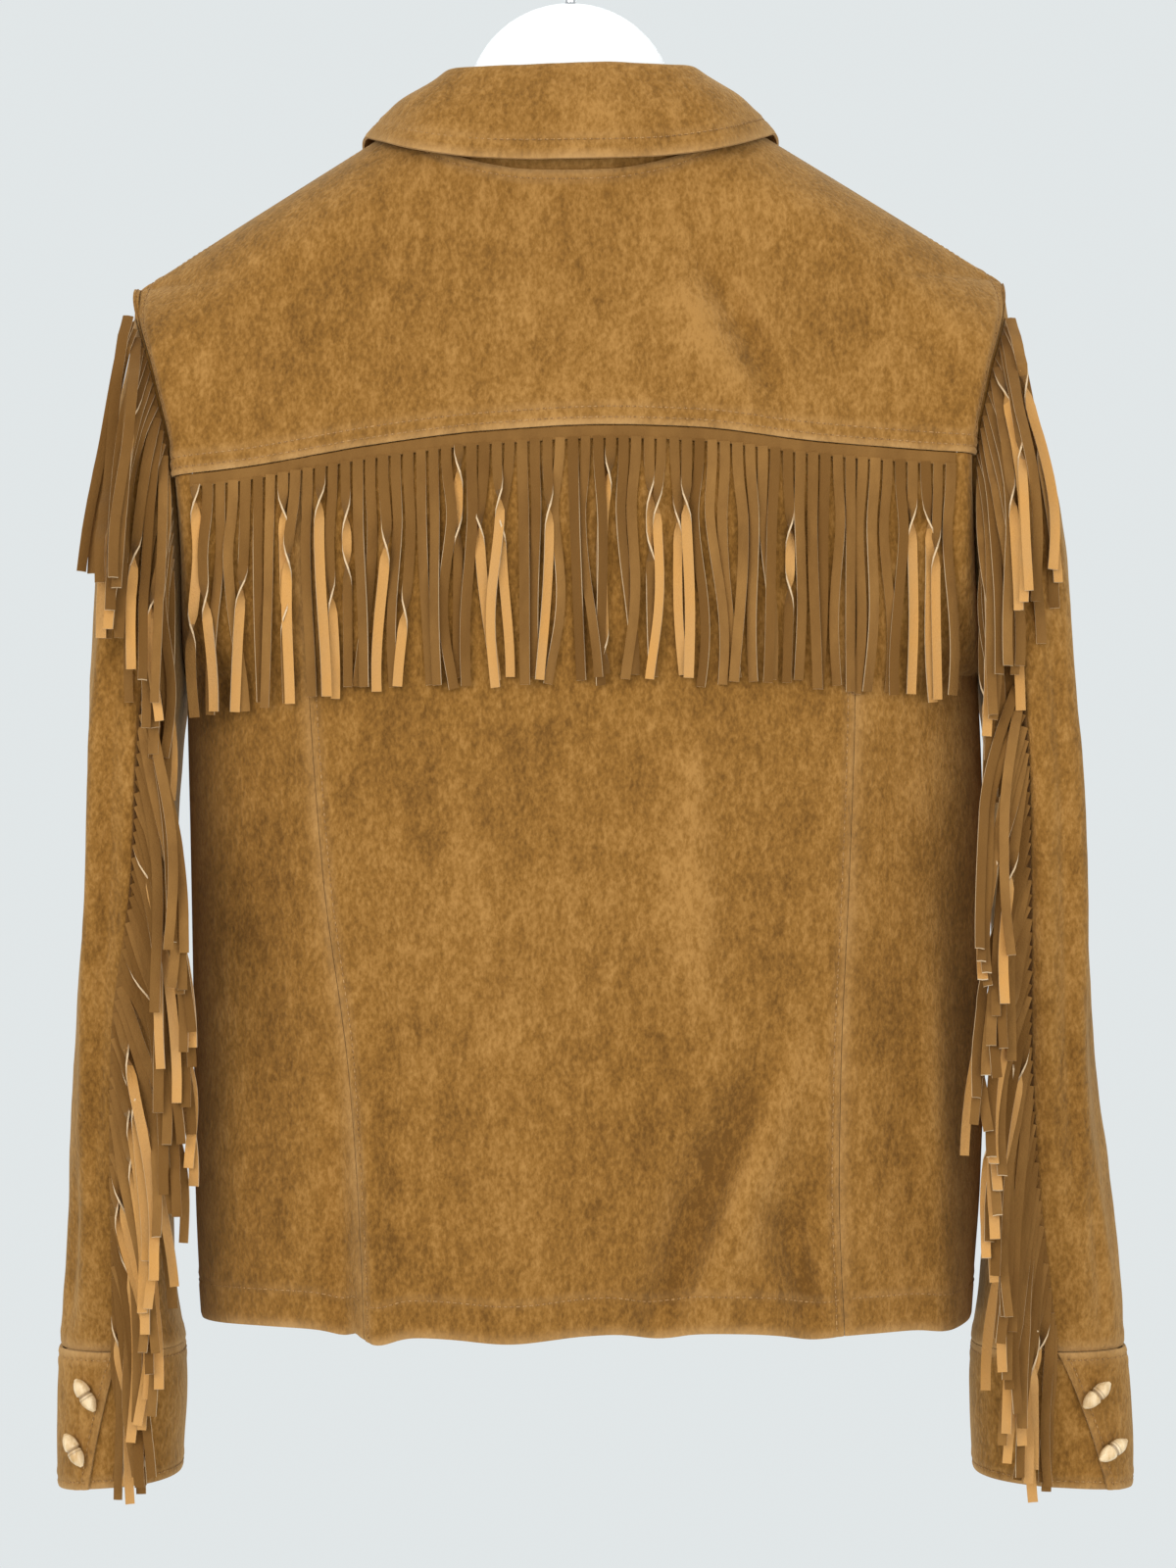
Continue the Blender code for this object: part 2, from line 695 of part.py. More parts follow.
def cuff_point(sign, turn, fall, lift):
    """A point of a cuff's outer surface at an angle and a share of its height."""
    inward = (1 - np.cos(turn)) / 2
    height = CUFF_HEIGHT - CUFF_TILT * inward
    z = SLEEVE_END - GAP - fall * height
    inner = by_side(CUFF, "in_", z, sign)
    outer = by_side(CUFF, "out_", z, sign)
    x = sign * blend(inner, outer, (1 + power(np.cos(turn), 2 / SQUARE)) / 2)
    y = read(CUFF, "middle", z) + read(CUFF, "depth", z) * power(np.sin(turn), 2 / SQUARE)
    middle = sign * (inner + outer) / 2
    away = unit(np.stack([x - middle, y - read(CUFF, "middle", z), 0 * x], axis=-1))
    return np.stack([x, y, z], axis=-1) + away * np.asarray(lift)[..., None]


def cuff_lift(edge, turn):
    """The overlap stands off by the cloth under it, and comes back to the section past it."""
    return (WALL + 2 * GAP) * ease((turn - (edge - CUFF_OVERLAP - 0.55)) / 0.5)


def add_cuff(name, sign, material):
    fall = np.linspace(0, 1, CUFF_ROWS)[:, None]
    edge = blend(CUFF_EDGE[sign][0], CUFF_EDGE[sign][1], fall)
    turned = np.linspace(0, 1, CUFF_COLUMNS)[None, :]
    turn = edge - turned * (2 * math.pi + CUFF_OVERLAP)
    outer = cuff_point(sign, turn, fall, cuff_lift(edge, turn))
    middle = np.array([sign * 0.226, -0.006, -0.77])
    normals = sheet_normals(outer, middle)
    return add_wall(name, outer, outer - WALL * normals, material)


def add_toggle(name, point, normal, axis, material):
    """A turned acorn toggle that lies on a surface at a point, its length along an axis."""
    sides = 10
    axis = unit(axis - normal * (axis @ normal))
    other = np.cross(axis, normal)
    middle = point + normal * (TOGGLE_WIDTH / 2 + GAP)
    rings = []
    for along, out in zip(TOGGLE_PROFILE["along"], TOGGLE_PROFILE["out"]):
        turns = [2 * math.pi * i / sides for i in range(sides)]
        centre = middle + axis * along * TOGGLE_LENGTH / 2
        away = [normal * math.cos(turn) + other * math.sin(turn) for turn in turns]
        rings.append([centre + way * out * TOGGLE_WIDTH / 2 for way in away])
    points = np.array(rings).reshape(-1, 3)
    faces = grid_faces(len(rings), sides, 0, True)
    faces.append(tuple(range(sides)))
    faces.append(tuple((len(rings) - 1) * sides + i for i in reversed(range(sides))))
    return add_object(name, points, faces, material)


# Share of each cuff's height, angle round it, and slope of the toggle that lies there
CUFF_TOGGLES = table(
    "number fall turn_left slope_left turn_right slope_right",
    (1, 0.30, 1.24, -0.95, 1.20, 0.66),
    (2, 0.70, 1.06, -0.90, 1.00, 0.42),
)
FRONT_TOGGLES = (-0.262, -0.360, -0.458, -0.556, -0.654)


def add_toggles(material):
    for side, sign in (("left", 1), ("right", -1)):
        for i, number in enumerate(CUFF_TOGGLES["key"]):
            fall = np.full((1, 1), CUFF_TOGGLES["fall"][i])
            turn = np.full((1, 1), CUFF_TOGGLES["turn_" + side][i])
            slope = CUFF_TOGGLES["slope_" + side][i]
            lift = np.full((1, 1), WALL + 2 * GAP)
            place = cuff_point(sign, turn, fall, lift)[0, 0]
            ahead = cuff_point(sign, turn + 0.01, fall, lift)[0, 0] - place
            below = cuff_point(sign, turn, fall + 0.01, lift)[0, 0] - place
            normal = unit(np.cross(ahead, below))
            normal = normal * np.sign(normal[1])
            axis = np.array([-math.cos(slope), 0, math.sin(slope)])
            add_toggle(f"cuff_toggle_{side}_{int(number)}", place, normal, axis, material)
    for i, z in enumerate(FRONT_TOGGLES):
        f, height = np.zeros(1), np.full(1, z)
        normal = body_normal(-1, f, height)[0]
        place = body_point(-1, f, height)[0] + normal * (WALL + 3 * GAP)
        add_toggle(f"front_toggle_{i + 1}", place, normal, np.array([1.0, 0, 0]), material)


# Collar

STAND_UP = 0.011
NECK_SEAM = 0.0008


def neck_edge(station, sign):
    """The outer edge of the body's neckline at a station, straight between the panels' points."""
    x = float(read(COLLAR, "neck_x", station))
    face = 1 if read(COLLAR, "face", station) > 0 else -1
    top = back_top if face > 0 else front_top
    share = share_across(np.array(x), np.array(-0.2))
    first = max(int(np.searchsorted(-NECK_SHARES, -share)), 1) - 1
    ends = []
    for f in NECK_SHARES[first : first + 2]:
        f = np.array([sign * f])
        z = end_of_columns(top, lambda height: (f, f), np.zeros(1))
        lift = front_overlap(f) if face < 0 and sign < 0 else 0
        ends.append((across(f, z)[0], body_point(face, f, z)[0] + body_normal(face, f, z)[0] * lift))
    share = (sign * x - ends[0][0]) / (ends[1][0] - ends[0][0])
    return blend(ends[0][1], ends[1][1], share)


def collar_columns():
    """(station, side) of each column, from the right front end round the back to the left."""
    stations = COLLAR["key"]
    return [(station, -1) for station in stations[::-1]] + [(station, 1) for station in stations[1:]]


def collar_place(name, station, sign):
    x, y, z = (read(COLLAR, name + axis, station) for axis in ("_x", "_y", "_z"))
    return np.array([sign * x, y, z - LEAN * sign * x])


def add_collar(material):
    """The stand rises from the neckline, and the collar goes on from it, turns over and falls."""
    columns = collar_columns()
    stand, collar = [], []
    for station, sign in columns:
        fold, edge = collar_place("fold", station, sign), collar_place("edge", station, sign)
        seam = neck_edge(station, sign)
        up = unit(fold - seam)
        outward = unit((edge - fold) * (1, 1, 0))
        stand.append([seam + up * NECK_SEAM, seam + up * STAND_UP])
        crease = fold - np.array([0, 0, WALL])
        inside = crease - np.array([0, 0, 0.0050]) - outward * 0.0010
        turn = crease + outward * 0.0045 - np.array([0, 0, 0.0022])
        hang = (turn + edge) / 2 + np.array([0, 0, 0.0040]) + outward * 0.0010
        collar.append([seam + up * (STAND_UP + 2 * GAP), inside, crease, turn, hang, edge])
    stand, collar = (np.array(rows).transpose(1, 0, 2) for rows in (stand, collar))
    across_stand = unit(np.cross(stand[1] - stand[0], np.gradient(stand[0], axis=0)))
    across_stand = across_stand * np.sign((across_stand * (stand[0] - (0, 0, -0.15)) * (1, 1, 0)).sum())
    add_wall("collar_stand", stand, stand - WALL * across_stand, material)
    normals = sheet_normals(collar, np.zeros(3))
    normals = normals * np.sign((normals[0] * across_stand).sum())
    normals[0] = across_stand
    add_wall("collar", collar, collar - WALL * normals, material)


# Fringe

ARMHOLE_STRIP = 0.0044  # the armhole strip's middle, outwards from the armhole
ARMHOLE_SPAN = (-0.2320, -0.362)  # heights between which the strands are rooted
SLEEVE_SPAN = (-0.407, -0.731)
STRAND_APART = 0.0013  # between the middles of two strands that lie over each other
ARMHOLE_LEVELS = (0.16, 0.38, 0.66, 1.0)
SLEEVE_LEVELS = (0.42, 1.0)
YOKE_LEVELS = (0.35, 0.70, 1.0)
YOKE_ENDS = (-0.1845, 0.1855)  # the first strand's middle, and a place past the last one's
YOKE_OFF = 0.0005
YOKE_TURN = 24  # most degrees that a strand of the yoke is turned
STRIP_REACH = 0.004  # distance along a seam over which a strip's slope is read
SEAM_STEPS = 160
KEEP_OFF_PASSES = 4
TAPER = 0.1


def tree_of(obj):
    mesh = obj.data
    points = [tuple(vertex.co) for vertex in mesh.vertices]
    return BVHTree.FromPolygons(points, [tuple(face.vertices) for face in mesh.polygons])


def cover(trees, x, z):
    """How far back the outermost cloth lies at a place."""
    hits = [tree.ray_cast(Vector((x, 1, z)), Vector((0, -1, 0)))[0] for tree in trees]
    return max([hit[1] for hit in hits if hit is not None], default=0.0)


def ribbon(middle, turn, width, thick):
    """Four corners of a strand's section: its outer face's first side, its inner face, and back."""
    side = np.array([math.cos(turn), math.sin(turn), 0]) * width / 2
    out = np.array([-math.sin(turn), math.cos(turn), 0]) * thick / 2
    return [middle - side + out, middle - side - out, middle + side - out, middle + side + out]


def add_comb(name, sections, strands, material):
    """A strip and the strands that grow out of it.

    sections holds four points across the strip at the start and at the end of each root, and
    strands the four corners of each strand at each of its levels. A strand's broad faces are
    split along one diagonal, so that they stay apart where it twists.
    """
    count, levels = strands.shape[:2]
    faces = []
    for a in range(2 * count - 1):
        for side in (0, 2, 3) if a % 2 == 0 else (0, 1, 2, 3):
            after = (side + 1) % 4
            faces.append((4 * a + side, 4 * a + after, 4 * a + 4 + after, 4 * a + 4 + side))
    last = 8 * count - 4
    faces += [(0, 1, 2, 3), (last, last + 1, last + 2, last + 3)]
    for i in range(count):
        ring = [8 * i + 1, 8 * i + 5, 8 * i + 6, 8 * i + 2]
        for level in range(levels):
            start = 8 * count + 4 * (levels * i + level)
            after = [start, start + 1, start + 2, start + 3]
            for c in (0, 2):
                faces.append((ring[c], ring[c + 1], after[c + 1], after[c]))
            faces += [(ring[1], ring[2], after[2]), (ring[1], after[2], after[1])]
            faces += [(ring[3], ring[0], after[3]), (ring[0], after[0], after[3])]
            ring = after
        faces.append(tuple(ring))
    points = np.concatenate([np.reshape(sections, (-1, 3)), np.reshape(strands, (-1, 3))])
    return add_object(name, points, faces, material)


def seat(trees, x, z, half, turn, clear):
    """The least depth at which a ribbon of this half width, turned so, is clear of the cloth."""
    found = []
    for step in (-half, -half / 2, 0, half / 2, half):
        found.append(cover(trees, x + step * math.cos(turn), z) - step * math.sin(turn))
    return max(found) + clear + STRAND_THICK


def strip_side(trees, x, z, half):
    """Two points either side of x, a strip's width apart along the cloth, that it can lie on."""
    slope = (cover(trees, x + half / 2, z) - cover(trees, x - half / 2, z)) / half
    reach = half / math.hypot(1, slope)
    ends = [cover(trees, x - reach, z), cover(trees, x + reach, z)]
    bulge = 0
    for share in (0.25, 0.5, 0.75):
        between = blend(ends[0], ends[1], share)
        bulge = max(bulge, cover(trees, x - reach + 2 * reach * share, z) - between)
    lift = bulge + SEAM_CLEAR
    return [np.array([x - reach, ends[0] + lift, z]), np.array([x + reach, ends[1] + lift, z])]


def add_yoke_fringe(panels, material):
    """The strip lies on the lower back just below the yoke, which stands off as far as it does."""
    trees = [tree_of(panel) for panel in panels]
    rng = np.random.default_rng(11)
    sections, strands = [], []
    for middle in np.arange(*YOKE_ENDS, YOKE_PITCH):
        for x in (middle - STRAND_WIDTH / 2, middle + STRAND_WIDTH / 2):
            top = float(read(YOKE_SEAM, "z", x)) - 2 * GAP
            low = top - STRIP_HEIGHT
            y_top, y_low = (cover(trees, x, z) + STRIP_CLEAR for z in (top, low))
            corners = [(x, y_top + STRIP_THICK, top), (x, y_low + STRIP_THICK, low)]
            sections.append(corners + [(x, y_low, low), (x, y_top, top)])
        turn = math.radians(rng.uniform(-YOKE_TURN, YOKE_TURN))
        sway = rng.uniform(-0.0005, 0.0005)
        tip = float(read(YOKE_TIPS, "z", middle)) + rng.uniform(-0.0025, 0.0025)
        last = y_low + STRIP_THICK
        rows = []
        for before, level in zip((0,) + YOKE_LEVELS, YOKE_LEVELS):
            x, z = middle + sway * level, blend(low, tip, level)
            half_way = blend(low, tip, (before + level) / 2)
            between = seat(trees, x, half_way, STRAND_WIDTH / 2, turn, STRIP_CLEAR)
            y = max(seat(trees, x, z, STRAND_WIDTH / 2, turn, STRIP_CLEAR), 2 * between - last) + YOKE_OFF
            last = y
            a, b, c, d = ribbon(np.array([x, y, z]), turn, STRAND_WIDTH * (1 - TAPER * level), STRAND_THICK)
            rows.append([a, d, c, b])
        strands.append(rows)
    add_comb("fringe_yoke", np.array(sections), np.array(strands), material)


def root_corners(trees, seam, sign, run, heights, place):
    """Four points across a seam's strip, at a distance along the seam."""
    steps = (0, STRIP_REACH, -STRIP_REACH)
    z, ahead, behind = (float(np.interp(place + step, run, heights)) for step in steps)
    x = sign * float(seam(z))
    sides = strip_side(trees, x, z, STRIP_WIDTH / 2)
    down = np.array([0, cover(trees, x, ahead) - cover(trees, x, behind), ahead - behind])
    out = unit(np.cross(sides[1] - sides[0], down))
    out = out * np.sign(out[1]) * STRIP_THICK
    return [sides[0], sides[0] + out, sides[1] + out, sides[1]]


def keep_off(line, below):
    """Raises a strand's line of x, y and z until it lies over the line of the strand below it."""
    if below is None:
        return line
    reach = np.linspace(max(line[-1, 2], below[-1, 2]), min(line[1, 2], below[0, 2]), 24)
    for _ in range(KEEP_OFF_PASSES):
        for z in reach:
            x, y = (np.interp(z, line[::-1, 2], line[::-1, k]) for k in (0, 1))
            x_below, y_below = (np.interp(z, below[::-1, 2], below[::-1, k]) for k in (0, 1))
            need = (STRAND_APART - abs(x - x_below) * math.sin(SHINGLE)) / math.cos(SHINGLE)
            short = y_below + need - y
            if short > 0:
                part = int(np.sum(line[:, 2] > z))
                line[max(part - 1, 1) :, 1] += short
    return line


def add_seam_fringe(name, sign, trees, seam, span, rows, levels, material):
    """Strands down a seam, each lying over the ones whose roots are below its own."""
    heights = np.linspace(*span, SEAM_STEPS)
    depths = np.array([cover(trees, sign * float(seam(z)), float(z)) for z in heights])
    run = np.concatenate([[0], np.cumsum(np.hypot(np.diff(heights), np.diff(depths)))])
    count = int((run[-1] - ROOT) / SEAM_PITCH) + 1
    rng = np.random.default_rng(5)
    sections, strands = [], []
    below = None
    for i in reversed(range(count)):
        places = (i * SEAM_PITCH, i * SEAM_PITCH + ROOT)
        corners = [root_corners(trees, seam, sign, run, heights, place) for place in places]
        sections = corners + sections
        root = np.mean([corners[0][1], corners[0][2], corners[1][1], corners[1][2]], axis=0)
        side = sign * float(by_side(rows, "side_", root[2], sign))
        off = float(read(rows, "off", root[2]))
        drop = float(read(rows, "drop", root[2])) + rng.uniform(-0.003, 0.003)
        turn = SHINGLE * -np.sign(side)
        base, last = root[1], root[1]
        line = [root]
        for before, level in zip((0,) + levels, levels):
            x, z = root[0] + side * level, root[2] - drop * level
            width = STRAND_WIDTH * (1 - TAPER * level)
            base = max(base, seat(trees, x, z, width / 2, turn, SEAM_CLEAR))
            middle = (before + level) / 2
            x_middle, z_middle = root[0] + side * middle, root[2] - drop * middle
            between = seat(trees, x_middle, z_middle, width / 2, turn, SEAM_CLEAR)
            last = max(base + off * level, 2 * between - last)
            base = max(base, last - off * level)
            line.append(np.array([x, last, z]))
        line = keep_off(np.array(line), below)
        below = line
        widths = STRAND_WIDTH * (1 - TAPER * np.array(levels))
        rings = [ribbon(place, turn, width, STRAND_THICK) for place, width in zip(line[1:], widths)]
        strands.insert(0, rings)
    add_comb(name, np.array(sections), np.array(strands), material)


# Hanger

ARM_CLEAR = 0.0009  # the faceted cloth between its points dips towards the arm
ARM_THIN = 0.0050
ARM_HALF = 0.0145
ARM_SINK = 0.006  # how much lower the arms run where they pass under the neckline
ARM_ROUND = 0.8  # the arm's top is rounder than the cloth over it by this share
ARM_NARROW = 0.083  # where the arms start to widen, and over what reach
ARM_WIDENS = 0.042
ARM_RISES = 0.112  # where the arms reach the shoulders, and over what reach
ARM_RISE = 0.027
ARM_LEAST = 0.016  # least height of a section
PLATE_HALF = 0.0055
PLATE_CROWN = 0.0012
PLATE_STATIONS = (0.0, 0.012, 0.023, 0.033, 0.041, 0.047, 0.0505)
ARM_STATIONS = (0.058, 0.070, 0.085, 0.098, 0.112, 0.130, 0.155, 0.175, HANGER_HALF)


def hanger_top(x):
    """Height of the hanger's top line: a dome at the neck, then arms under the shoulders."""
    dome = DOME_TOP - DOME_RADIUS + np.sqrt(np.clip(DOME_RADIUS**2 - x**2, 0, None))
    sink = ARM_SINK * ease((ARM_RISES - np.abs(x)) / ARM_RISE)
    arm = ridge(x) - sink
    return np.where(np.abs(x) < DOME_RADIUS * 0.98, np.maximum(dome, arm), arm)


def add_hanger(material):
    """Sections across the hanger, each a closed loop that follows the inside of the shoulders."""
    reaches = PLATE_STATIONS + ARM_STATIONS
    rows = []
    for x in [-reach for reach in reaches[:0:-1]] + list(reaches):
        reach = abs(x)
        plate = reach < ARM_STATIONS[0]
        widened = float(ease((reach - ARM_NARROW) / ARM_WIDENS))
        half = PLATE_HALF if plate else blend(ARM_THIN, ARM_HALF, widened)
        depth = float(body_depth(1, np.array([x]), np.array([ridge(x) - 0.008]))[0])
        half = min(half, 0.45 * depth)
        top = float(hanger_top(np.array(x)))
        clear = 0 if plate else (WALL + ARM_CLEAR) / math.cos(math.atan(SHOULDER_FALL))
        share = 0.55 + 0.45 * float(ease((0.2 - reach) / 0.1))
        bottom = min(top - ARM_LEAST, float(ridge(x)) - HANGER_DEPTH * share)
        upper = []
        for i in range(-2, 3):
            y = half * i / 2
            if plate:
                drop = PLATE_CROWN * (i / 2) ** 2
            else:
                drop = ROUND_OVER * (1 - math.sqrt(1 - min(abs(y) / (ARM_ROUND * depth), 0.95) ** 2))
            upper.append((x, y, top - drop - clear))
        rows.append(upper + [(x, half * 0.9, bottom), (x, -half * 0.9, bottom)])
    points = np.array(rows)
    count = points.shape[1]
    faces = grid_faces(len(rows), count, 0, True)
    faces.append(tuple(range(count)))
    faces.append(tuple((len(rows) - 1) * count + i for i in reversed(range(count))))
    add_object("hanger", points.reshape(-1, 3), faces, material)


HOOK_START = -58  # degrees: where the stem meets the circle, and where the wire ends
HOOK_END = 205
HOOK_POINTS = 15
STEM = 0.006
STEM_BEND = 0.010
STEM_ASIDE = 0.0012


def hook_route():
    """The wire's middle: a straight stem, a bend to one side, then three quarters of a circle."""
    radius = (HOOK_INSIDE + HOOK_WIRE) / 2
    centre = -HOOK_INSIDE / 2
    start, end = math.radians(HOOK_START), math.radians(HOOK_END)
    low = (radius * math.cos(start), centre + radius * math.sin(start))
    foot = DOME_TOP + GAP
    bend = foot + STEM_BEND
    route = [(0.0, foot), (0.0, foot + STEM), (STEM_ASIDE, bend)]
    route.append((blend(STEM_ASIDE, low[0], 0.55), blend(bend, low[1], 0.58)))
    for angle in np.linspace(start, end, HOOK_POINTS):
        route.append((radius * math.cos(angle), centre + radius * math.sin(angle)))
    return route


def add_hook(material):
    route = hook_route()
    curve = bpy.data.curves.new("hanger_hook", "CURVE")
    curve.dimensions = "3D"
    curve.bevel_depth = HOOK_WIRE / 2
    curve.bevel_resolution = 2
    curve.use_fill_caps = True
    spline = curve.splines.new("POLY")
    spline.points.add(len(route) - 1)
    for point, (x, z) in zip(spline.points, route):
        point.co = (x, 0, z, 1)
    spline.use_smooth = True
    curve.materials.append(material)
    obj = bpy.data.objects.new("hanger_hook", curve)
    bpy.context.scene.collection.objects.link(obj)


def add_seam_fringes(sleeve, cuff, side, sign, material):
    def armhole(z):
        return by_side(BODY, "", z, sign) + ARMHOLE_STRIP

    def down_sleeve(z):
        return by_side(SLEEVE, "seam_", z, sign)

    combs = (
        ("armhole", [sleeve], armhole, ARMHOLE_SPAN, ARMHOLE_FRINGE, ARMHOLE_LEVELS),
        ("sleeve", [sleeve, cuff], down_sleeve, SLEEVE_SPAN, SLEEVE_FRINGE, SLEEVE_LEVELS),
    )
    for kind, under, seam, span, rows, levels in combs:
        trees = [tree_of(piece) for piece in under]
        add_seam_fringe(f"fringe_{kind}_{side}", sign, trees, seam, span, rows, levels, material)


def main():
    for obj in list(bpy.data.objects):
        bpy.data.objects.remove(obj, do_unlink=True)
    suede = new_material("suede", SUEDE, 0.95)
    tan = new_material("fringe_suede", FRINGE_TAN, 0.95)
    back = add_back(suede)
    add_fronts(suede)
    add_yoke_fringe(back, tan)
    for side, sign in (("left", 1), ("right", -1)):
        sleeve = add_sleeve("sleeve_" + side, sign, suede)
        cuff = add_cuff("cuff_" + side, sign, suede)
        add_seam_fringes(sleeve, cuff, side, sign, tan)
    add_toggles(new_material("wood", WOOD, 0.45))
    add_collar(suede)
    add_hanger(new_material("white_plastic", WHITE, 0.35))
    add_hook(new_material("steel", STEEL, 0.25, 1.0))


main()
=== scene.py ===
"""The dressed look of a fringed suede jacket on a broad hanger, seen from the back.

All sizes are in metres. +Z is up, the jacket's front faces -Y and the wearer's left is +X. The
shape functions and tables are those of the part's solids, read here at a finer pitch.
"""

import math

import bmesh
import bpy
import numpy as np
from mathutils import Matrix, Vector, noise
from mathutils.bvhtree import BVHTree


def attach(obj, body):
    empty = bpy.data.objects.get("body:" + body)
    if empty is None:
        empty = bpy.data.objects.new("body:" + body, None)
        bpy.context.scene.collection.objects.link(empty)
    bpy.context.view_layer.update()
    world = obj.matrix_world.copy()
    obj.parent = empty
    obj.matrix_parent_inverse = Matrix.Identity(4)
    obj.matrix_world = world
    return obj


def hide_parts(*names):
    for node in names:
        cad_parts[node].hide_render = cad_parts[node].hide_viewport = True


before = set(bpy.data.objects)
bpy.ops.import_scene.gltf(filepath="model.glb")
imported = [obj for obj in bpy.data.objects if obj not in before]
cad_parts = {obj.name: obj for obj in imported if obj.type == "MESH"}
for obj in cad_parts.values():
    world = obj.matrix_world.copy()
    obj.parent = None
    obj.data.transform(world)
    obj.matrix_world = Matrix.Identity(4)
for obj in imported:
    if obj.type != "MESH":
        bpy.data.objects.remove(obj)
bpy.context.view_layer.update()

# Cloth
WALL = 0.0015
GAP = 0.0003
SLEEVE_GAP = 0.0008
SQUARE = 2.4  # exponent of the rounded sections: 2 is an ellipse

# Shoulders, neck and armholes
SHOULDER_HALF = 0.215
NECK_HALF = 0.085
NECK_TOP = -0.1262
SHOULDER_FALL = 0.62  # drop of the shoulder line for each metre outwards
LEAN = 0.01  # the wearer's left hangs this much lower for each metre outwards
ROUND_OVER = 0.045  # height over which the body rounds over the shoulder line
UNDERARM = -0.402
ARMHOLE_HALF = 0.042
SIDE_REACH = 8  # the armhole's depth fades this steeply across the body
SHARED_WALL_END = -0.36  # above this the body and the sleeve take their walls the same way
FRONT_NECK = -0.225
CLOSURE_HALF = 0.012

# Hem, sleeves and cuffs
HEM = -0.7195
SLEEVE_END = -0.734
CUFF_HEIGHT = 0.070
CUFF_TILT = 0.006

# Fringe
YOKE_PITCH = 0.0061
SEAM_PITCH = 0.0063
ROOT = 0.0034  # how much of a seam each strand takes
STRAND_WIDTH = 0.0046
STRAND_THICK = 0.0009
STRIP_HEIGHT = 0.006
STRIP_WIDTH = 0.0044
STRIP_THICK = 0.0012
STRIP_CLEAR = 0.0006

# Hanger
HOOK_WIRE = 0.0055
HOOK_INSIDE = 0.038
DOME_TOP = -0.065
DOME_RADIUS = 0.0519
HANGER_HALF = 0.190
HANGER_DEPTH = 0.030

# Toggles
TOGGLE_LENGTH = 0.0185
TOGGLE_WIDTH = 0.0076


def table(columns, *rows):
    """Named columns, sorted by the first one, which is also kept under the name key."""
    ordered = np.array(sorted(rows))
    found = {name: ordered[:, i] for i, name in enumerate(columns.split())}
    found["key"] = ordered[:, 0]
    return found


def records(columns, *rows):
    """Rows with named columns, one dictionary for each, in the order given."""
    return [dict(zip(columns.split(), row)) for row in rows]


# The body at each height: half width to the left and right side line, and depth behind and in front
BODY = table(
    "z left right back front",
    (-0.740, 0.182, 0.198, 0.078, 0.072),
    (-0.700, 0.185, 0.201, 0.077, 0.071),
    (-0.650, 0.187, 0.2045, 0.076, 0.070),
    (-0.560, 0.188, 0.207, 0.075, 0.070),
    (-0.480, 0.1895, 0.206, 0.075, 0.071),
    (-0.402, 0.191, 0.203, 0.074, 0.071),
    (-0.350, 0.190, 0.198, 0.071, 0.069),
    (-0.300, 0.193, 0.196, 0.068, 0.066),
    (-0.255, 0.203, 0.204, 0.062, 0.060),
    (-0.209, 0.215, 0.215, 0.055, 0.055),
    (-0.150, 0.215, 0.215, 0.047, 0.047),
    (-0.100, 0.215, 0.215, 0.038, 0.038),
)

# Height of the back neckline at each distance from the middle
BACK_NECK = table(
    "x z",
    (0.000, -0.1560),
    (0.020, -0.1555),
    (0.040, -0.1525),
    (0.060, -0.1465),
    (0.075, -0.1385),
    (0.085, NECK_TOP),
)

# Height of the yoke's fringe seam across the back
YOKE_SEAM = table(
    "x z",
    (-0.200, -0.2950),
    (-0.165, -0.2925),
    (-0.115, -0.2890),
    (-0.060, -0.2830),
    (-0.020, -0.2820),
    (0.040, -0.2850),
    (0.095, -0.2915),
    (0.155, -0.3010),
    (0.195, -0.3060),
)

# Distance of the two princess seams of the back from the middle
PRINCESS = table(
    "z left right",
    (-0.730, 0.098, 0.133),
    (-0.650, 0.102, 0.130),
    (-0.590, 0.107, 0.131),
    (-0.500, 0.119, 0.135),
    (-0.410, 0.126, 0.138),
    (-0.280, 0.132, 0.139),
)

# Soft folds of the back: a line from its first to its last point, half width, and height
# outwards, which grows from nothing at the first point
FOLDS = records(
    "x_top z_top x_end z_end half_width height",
    (0.098, -0.560, 0.092, -0.730, 0.011, 0.0080),
    (0.112, -0.560, 0.108, -0.730, 0.008, -0.0050),
    (-0.072, -0.590, -0.040, -0.730, 0.013, -0.0070),
    (-0.100, -0.640, -0.120, -0.730, 0.012, -0.0050),
    (-0.172, -0.540, -0.186, -0.730, 0.012, 0.0050),
    (-0.064, -0.180, -0.100, -0.258, 0.010, -0.0030),
    (-0.010, -0.600, 0.030, -0.730, 0.022, 0.0040),
)

